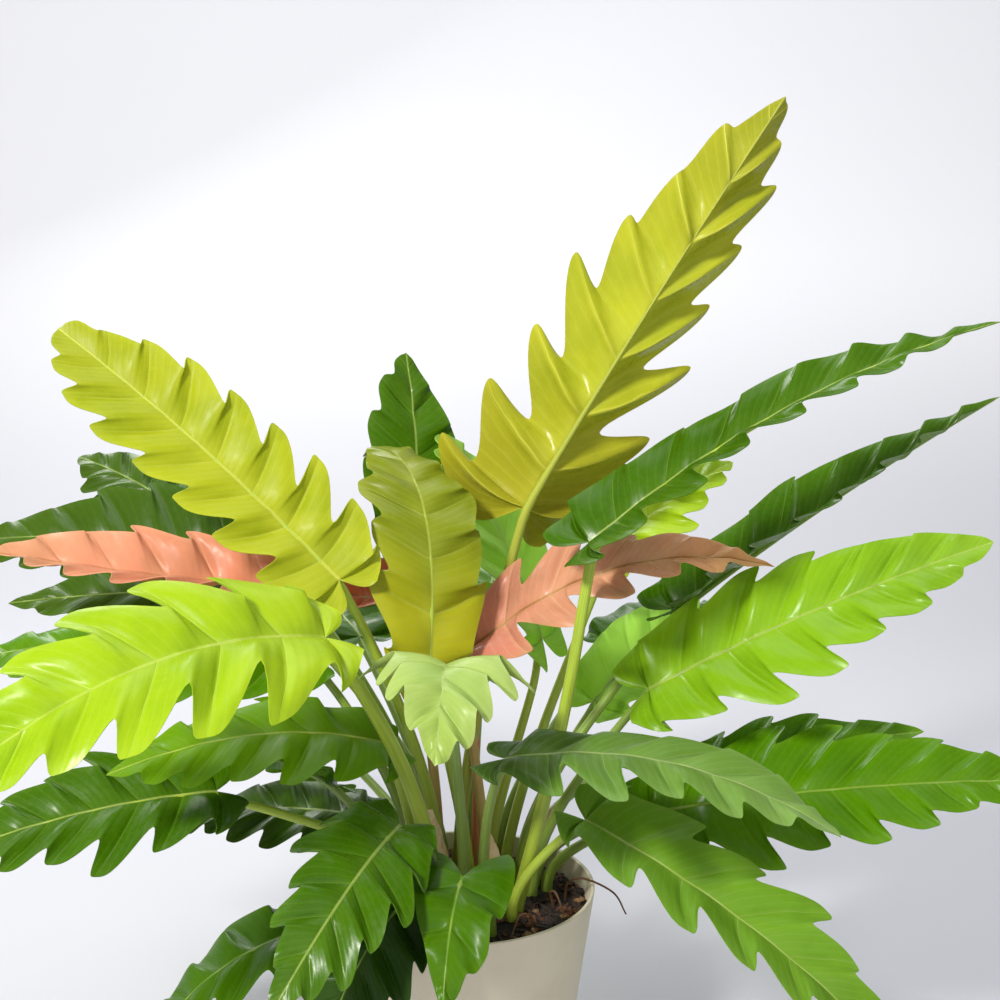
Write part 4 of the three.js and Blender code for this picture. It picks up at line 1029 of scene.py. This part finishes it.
def makeBarkMaterial(name, dark, light):
    material, tree, shader = newMaterial(name)
    fibres = noiseOf(tree, objectPlace(tree, (1, 0.25, 1)), 700, 4)
    colour = mixColour(tree, rangeOf(tree, fibres, 0.38, 0.65), paint(dark), paint(light))
    coverWith(tree, shader, colour, 0.85)
    bumpOn(tree, shader, fibres, 0.7, 0.0008)
    return material


def soilHeight(x, y):
    waves = math.sin(0.11 * x + 1.3) * math.cos(0.09 * y - 0.4) + 0.6 * math.sin(0.23 * x - 0.19 * y + 2.1)
    crumbs = math.sin(0.71 * x + 0.4 * y) * math.sin(0.63 * y - 0.3 * x + 1.2)
    crumbs += 0.5 * math.sin(1.9 * x) * math.sin(1.7 * y)
    edge = 1 - max(0, min(1, (math.hypot(x, y) - soil["edgeFrom"]) / soil["edgeWidth"]))
    lump = soil["lump"] * 0.28 * (waves + 0.55 * crumbs) * (0.35 + 0.65 * edge)
    return edgeHeight + edge * soil["edgeDrop"] + lump


low = pot["floor"] + soil["gap"]
edgeHeight = stand["soilTop"] - soil["edgeDrop"]
topRadius = insideRadius(edgeHeight) - soil["gap"]
bpy.ops.mesh.primitive_cone_add(vertices=soil["facets"], radius1=(insideRadius(low) - soil["gap"]) * mm,
                                radius2=topRadius * mm, depth=(edgeHeight - low) * mm,
                                location=(0, 0, (edgeHeight + low) / 2 * mm))
soilPiece = bpy.context.object
soilPiece.name = "barkSoil"
bpy.ops.object.transform_apply(location=True)
selectTop(soilPiece)
ringStep = (topRadius - 1) / soil["rings"] * mm
for ring in range(soil["rings"] - 1):
    bpy.ops.mesh.inset(thickness=ringStep)
bpy.ops.mesh.poke()
bpy.ops.object.mode_set(mode="OBJECT")
for vertex in soilPiece.data.vertices:
    x, y, z = vertex.co / mm
    if z > edgeHeight - 1 and math.hypot(x, y) < topRadius - 0.6:
        vertex.co.z = soilHeight(x, y) * mm
soilPiece.data.materials.append(makeSoilMaterial())
smoothOver(soilPiece, 60)

keepClear = [(*row["foot"], room) for rows, room in ((leafRows, 9), (sheaths, 12), (spears, 6))
             for row in rows.values()]


def makeChip(name, size, seed):
    bpy.ops.mesh.primitive_cube_add(size=1)
    chip = bpy.context.object
    chip.name = name
    chip.scale = size
    bpy.ops.object.transform_apply(scale=True)
    bpy.ops.object.mode_set(mode="EDIT")
    bpy.ops.mesh.subdivide(number_cuts=1)
    bpy.ops.object.mode_set(mode="OBJECT")
    chance = random.Random(seed)
    for vertex in chip.data.vertices:
        vertex.co = [c * chance.uniform(0.7, 1.12) for c in vertex.co]
    return chip


chipKinds = [
    makeChip("flatChip", (0.012, 0.007, 0.0022), 1),
    makeChip("thickChip", (0.008, 0.006, 0.004), 2),
    makeChip("splinter", (0.016, 0.0026, 0.0018), 3),
    makeChip("crumb", (0.004, 0.0035, 0.003), 4),
]
barkMaterials = [
    makeBarkMaterial("darkBark", "#1d120c", "#38251a"),
    makeBarkMaterial("redBark", "#3c2213", "#653d23"),
    makeBarkMaterial("paleBark", "#59412a", "#8c6b43"),
]
chance = random.Random(7)
chips = []
while len(chips) < soil["chips"]:
    radius = soil["chipsWithin"] * math.sqrt(chance.random())
    turn = chance.uniform(0, 2 * math.pi)
    x, y = radius * math.cos(turn), radius * math.sin(turn)
    kind = chance.choices(range(4), (3, 2, 2, 5))[0]
    tilt = (chance.uniform(-0.4, 0.4), chance.uniform(-0.4, 0.4), chance.uniform(0, 6.3))
    scale = chance.uniform(0.6, 1.15)
    tone = chance.choices(range(3), (5, 3, 1))[0]
    if any(math.hypot(x - a, y - b) < room for a, b, room in keepClear):
        continue
    chip = chipKinds[kind].copy()
    chip.data = chipKinds[kind].data.copy()
    scene.collection.objects.link(chip)
    chip.location = (x * mm, y * mm, (soilHeight(x, y) + 0.6) * mm)
    chip.rotation_euler = tilt
    chip.scale = (scale, scale, scale)
    chip.data.materials.append(barkMaterials[tone])
    chips.append(chip)
for kind in chipKinds:
    bpy.data.objects.remove(kind)
pick(*chips)
bpy.ops.object.transform_apply(location=True, rotation=True, scale=True)
soilPiece = joinPieces("barkSoil", [soilPiece, *chips])
finishPiece(soilPiece, "soil")
print("soil is laid, chips:", len(chips))


# a pale floor that sweeps up behind the plant

sweep = {"front": -2.2, "bend": 1.3, "radius": 0.9, "top": 3.0, "half": 3.2}
floor = newGrid("paleSweep", 2, 60)
flatPart = sweep["bend"] - sweep["front"]
arcPart = sweep["radius"] * math.pi / 2
whole = flatPart + arcPart + sweep["top"] - sweep["radius"]
for vertex in floor.data.vertices:
    run = (vertex.co.y + 0.5) * whole
    x = vertex.co.x * 2 * sweep["half"]
    if run < flatPart:
        vertex.co = (x, sweep["front"] + run, 0)
    elif run < flatPart + arcPart:
        turn = (run - flatPart) / sweep["radius"]
        back = sweep["bend"] + sweep["radius"] * math.sin(turn)
        vertex.co = (x, back, sweep["radius"] * (1 - math.cos(turn)))
    else:
        vertex.co = (x, sweep["bend"] + sweep["radius"], sweep["radius"] + run - flatPart - arcPart)
smoothOver(floor, 60)
material, tree, shader = newMaterial("paleSweepPaint")
tint = mixColour(tree, noiseOf(tree, objectPlace(tree), 0.8, 1), paint("#e5e6ed"), paint("#e8e9f0"))
# painted light and shade: the sweep is painted darker on the floor, where the lamps light it most, and
# lighter up the wall, where their light falls off
tint = mixColour(tree, rangeOf(tree, heightOf(tree), 0, 0.5), paint("#bebfc6"), tint)
coverWith(tree, shader, tint, 0.9)
shader.inputs["Specular IOR Level"].default_value = 0.1
floor.data.materials.append(material)
print("floor is down")
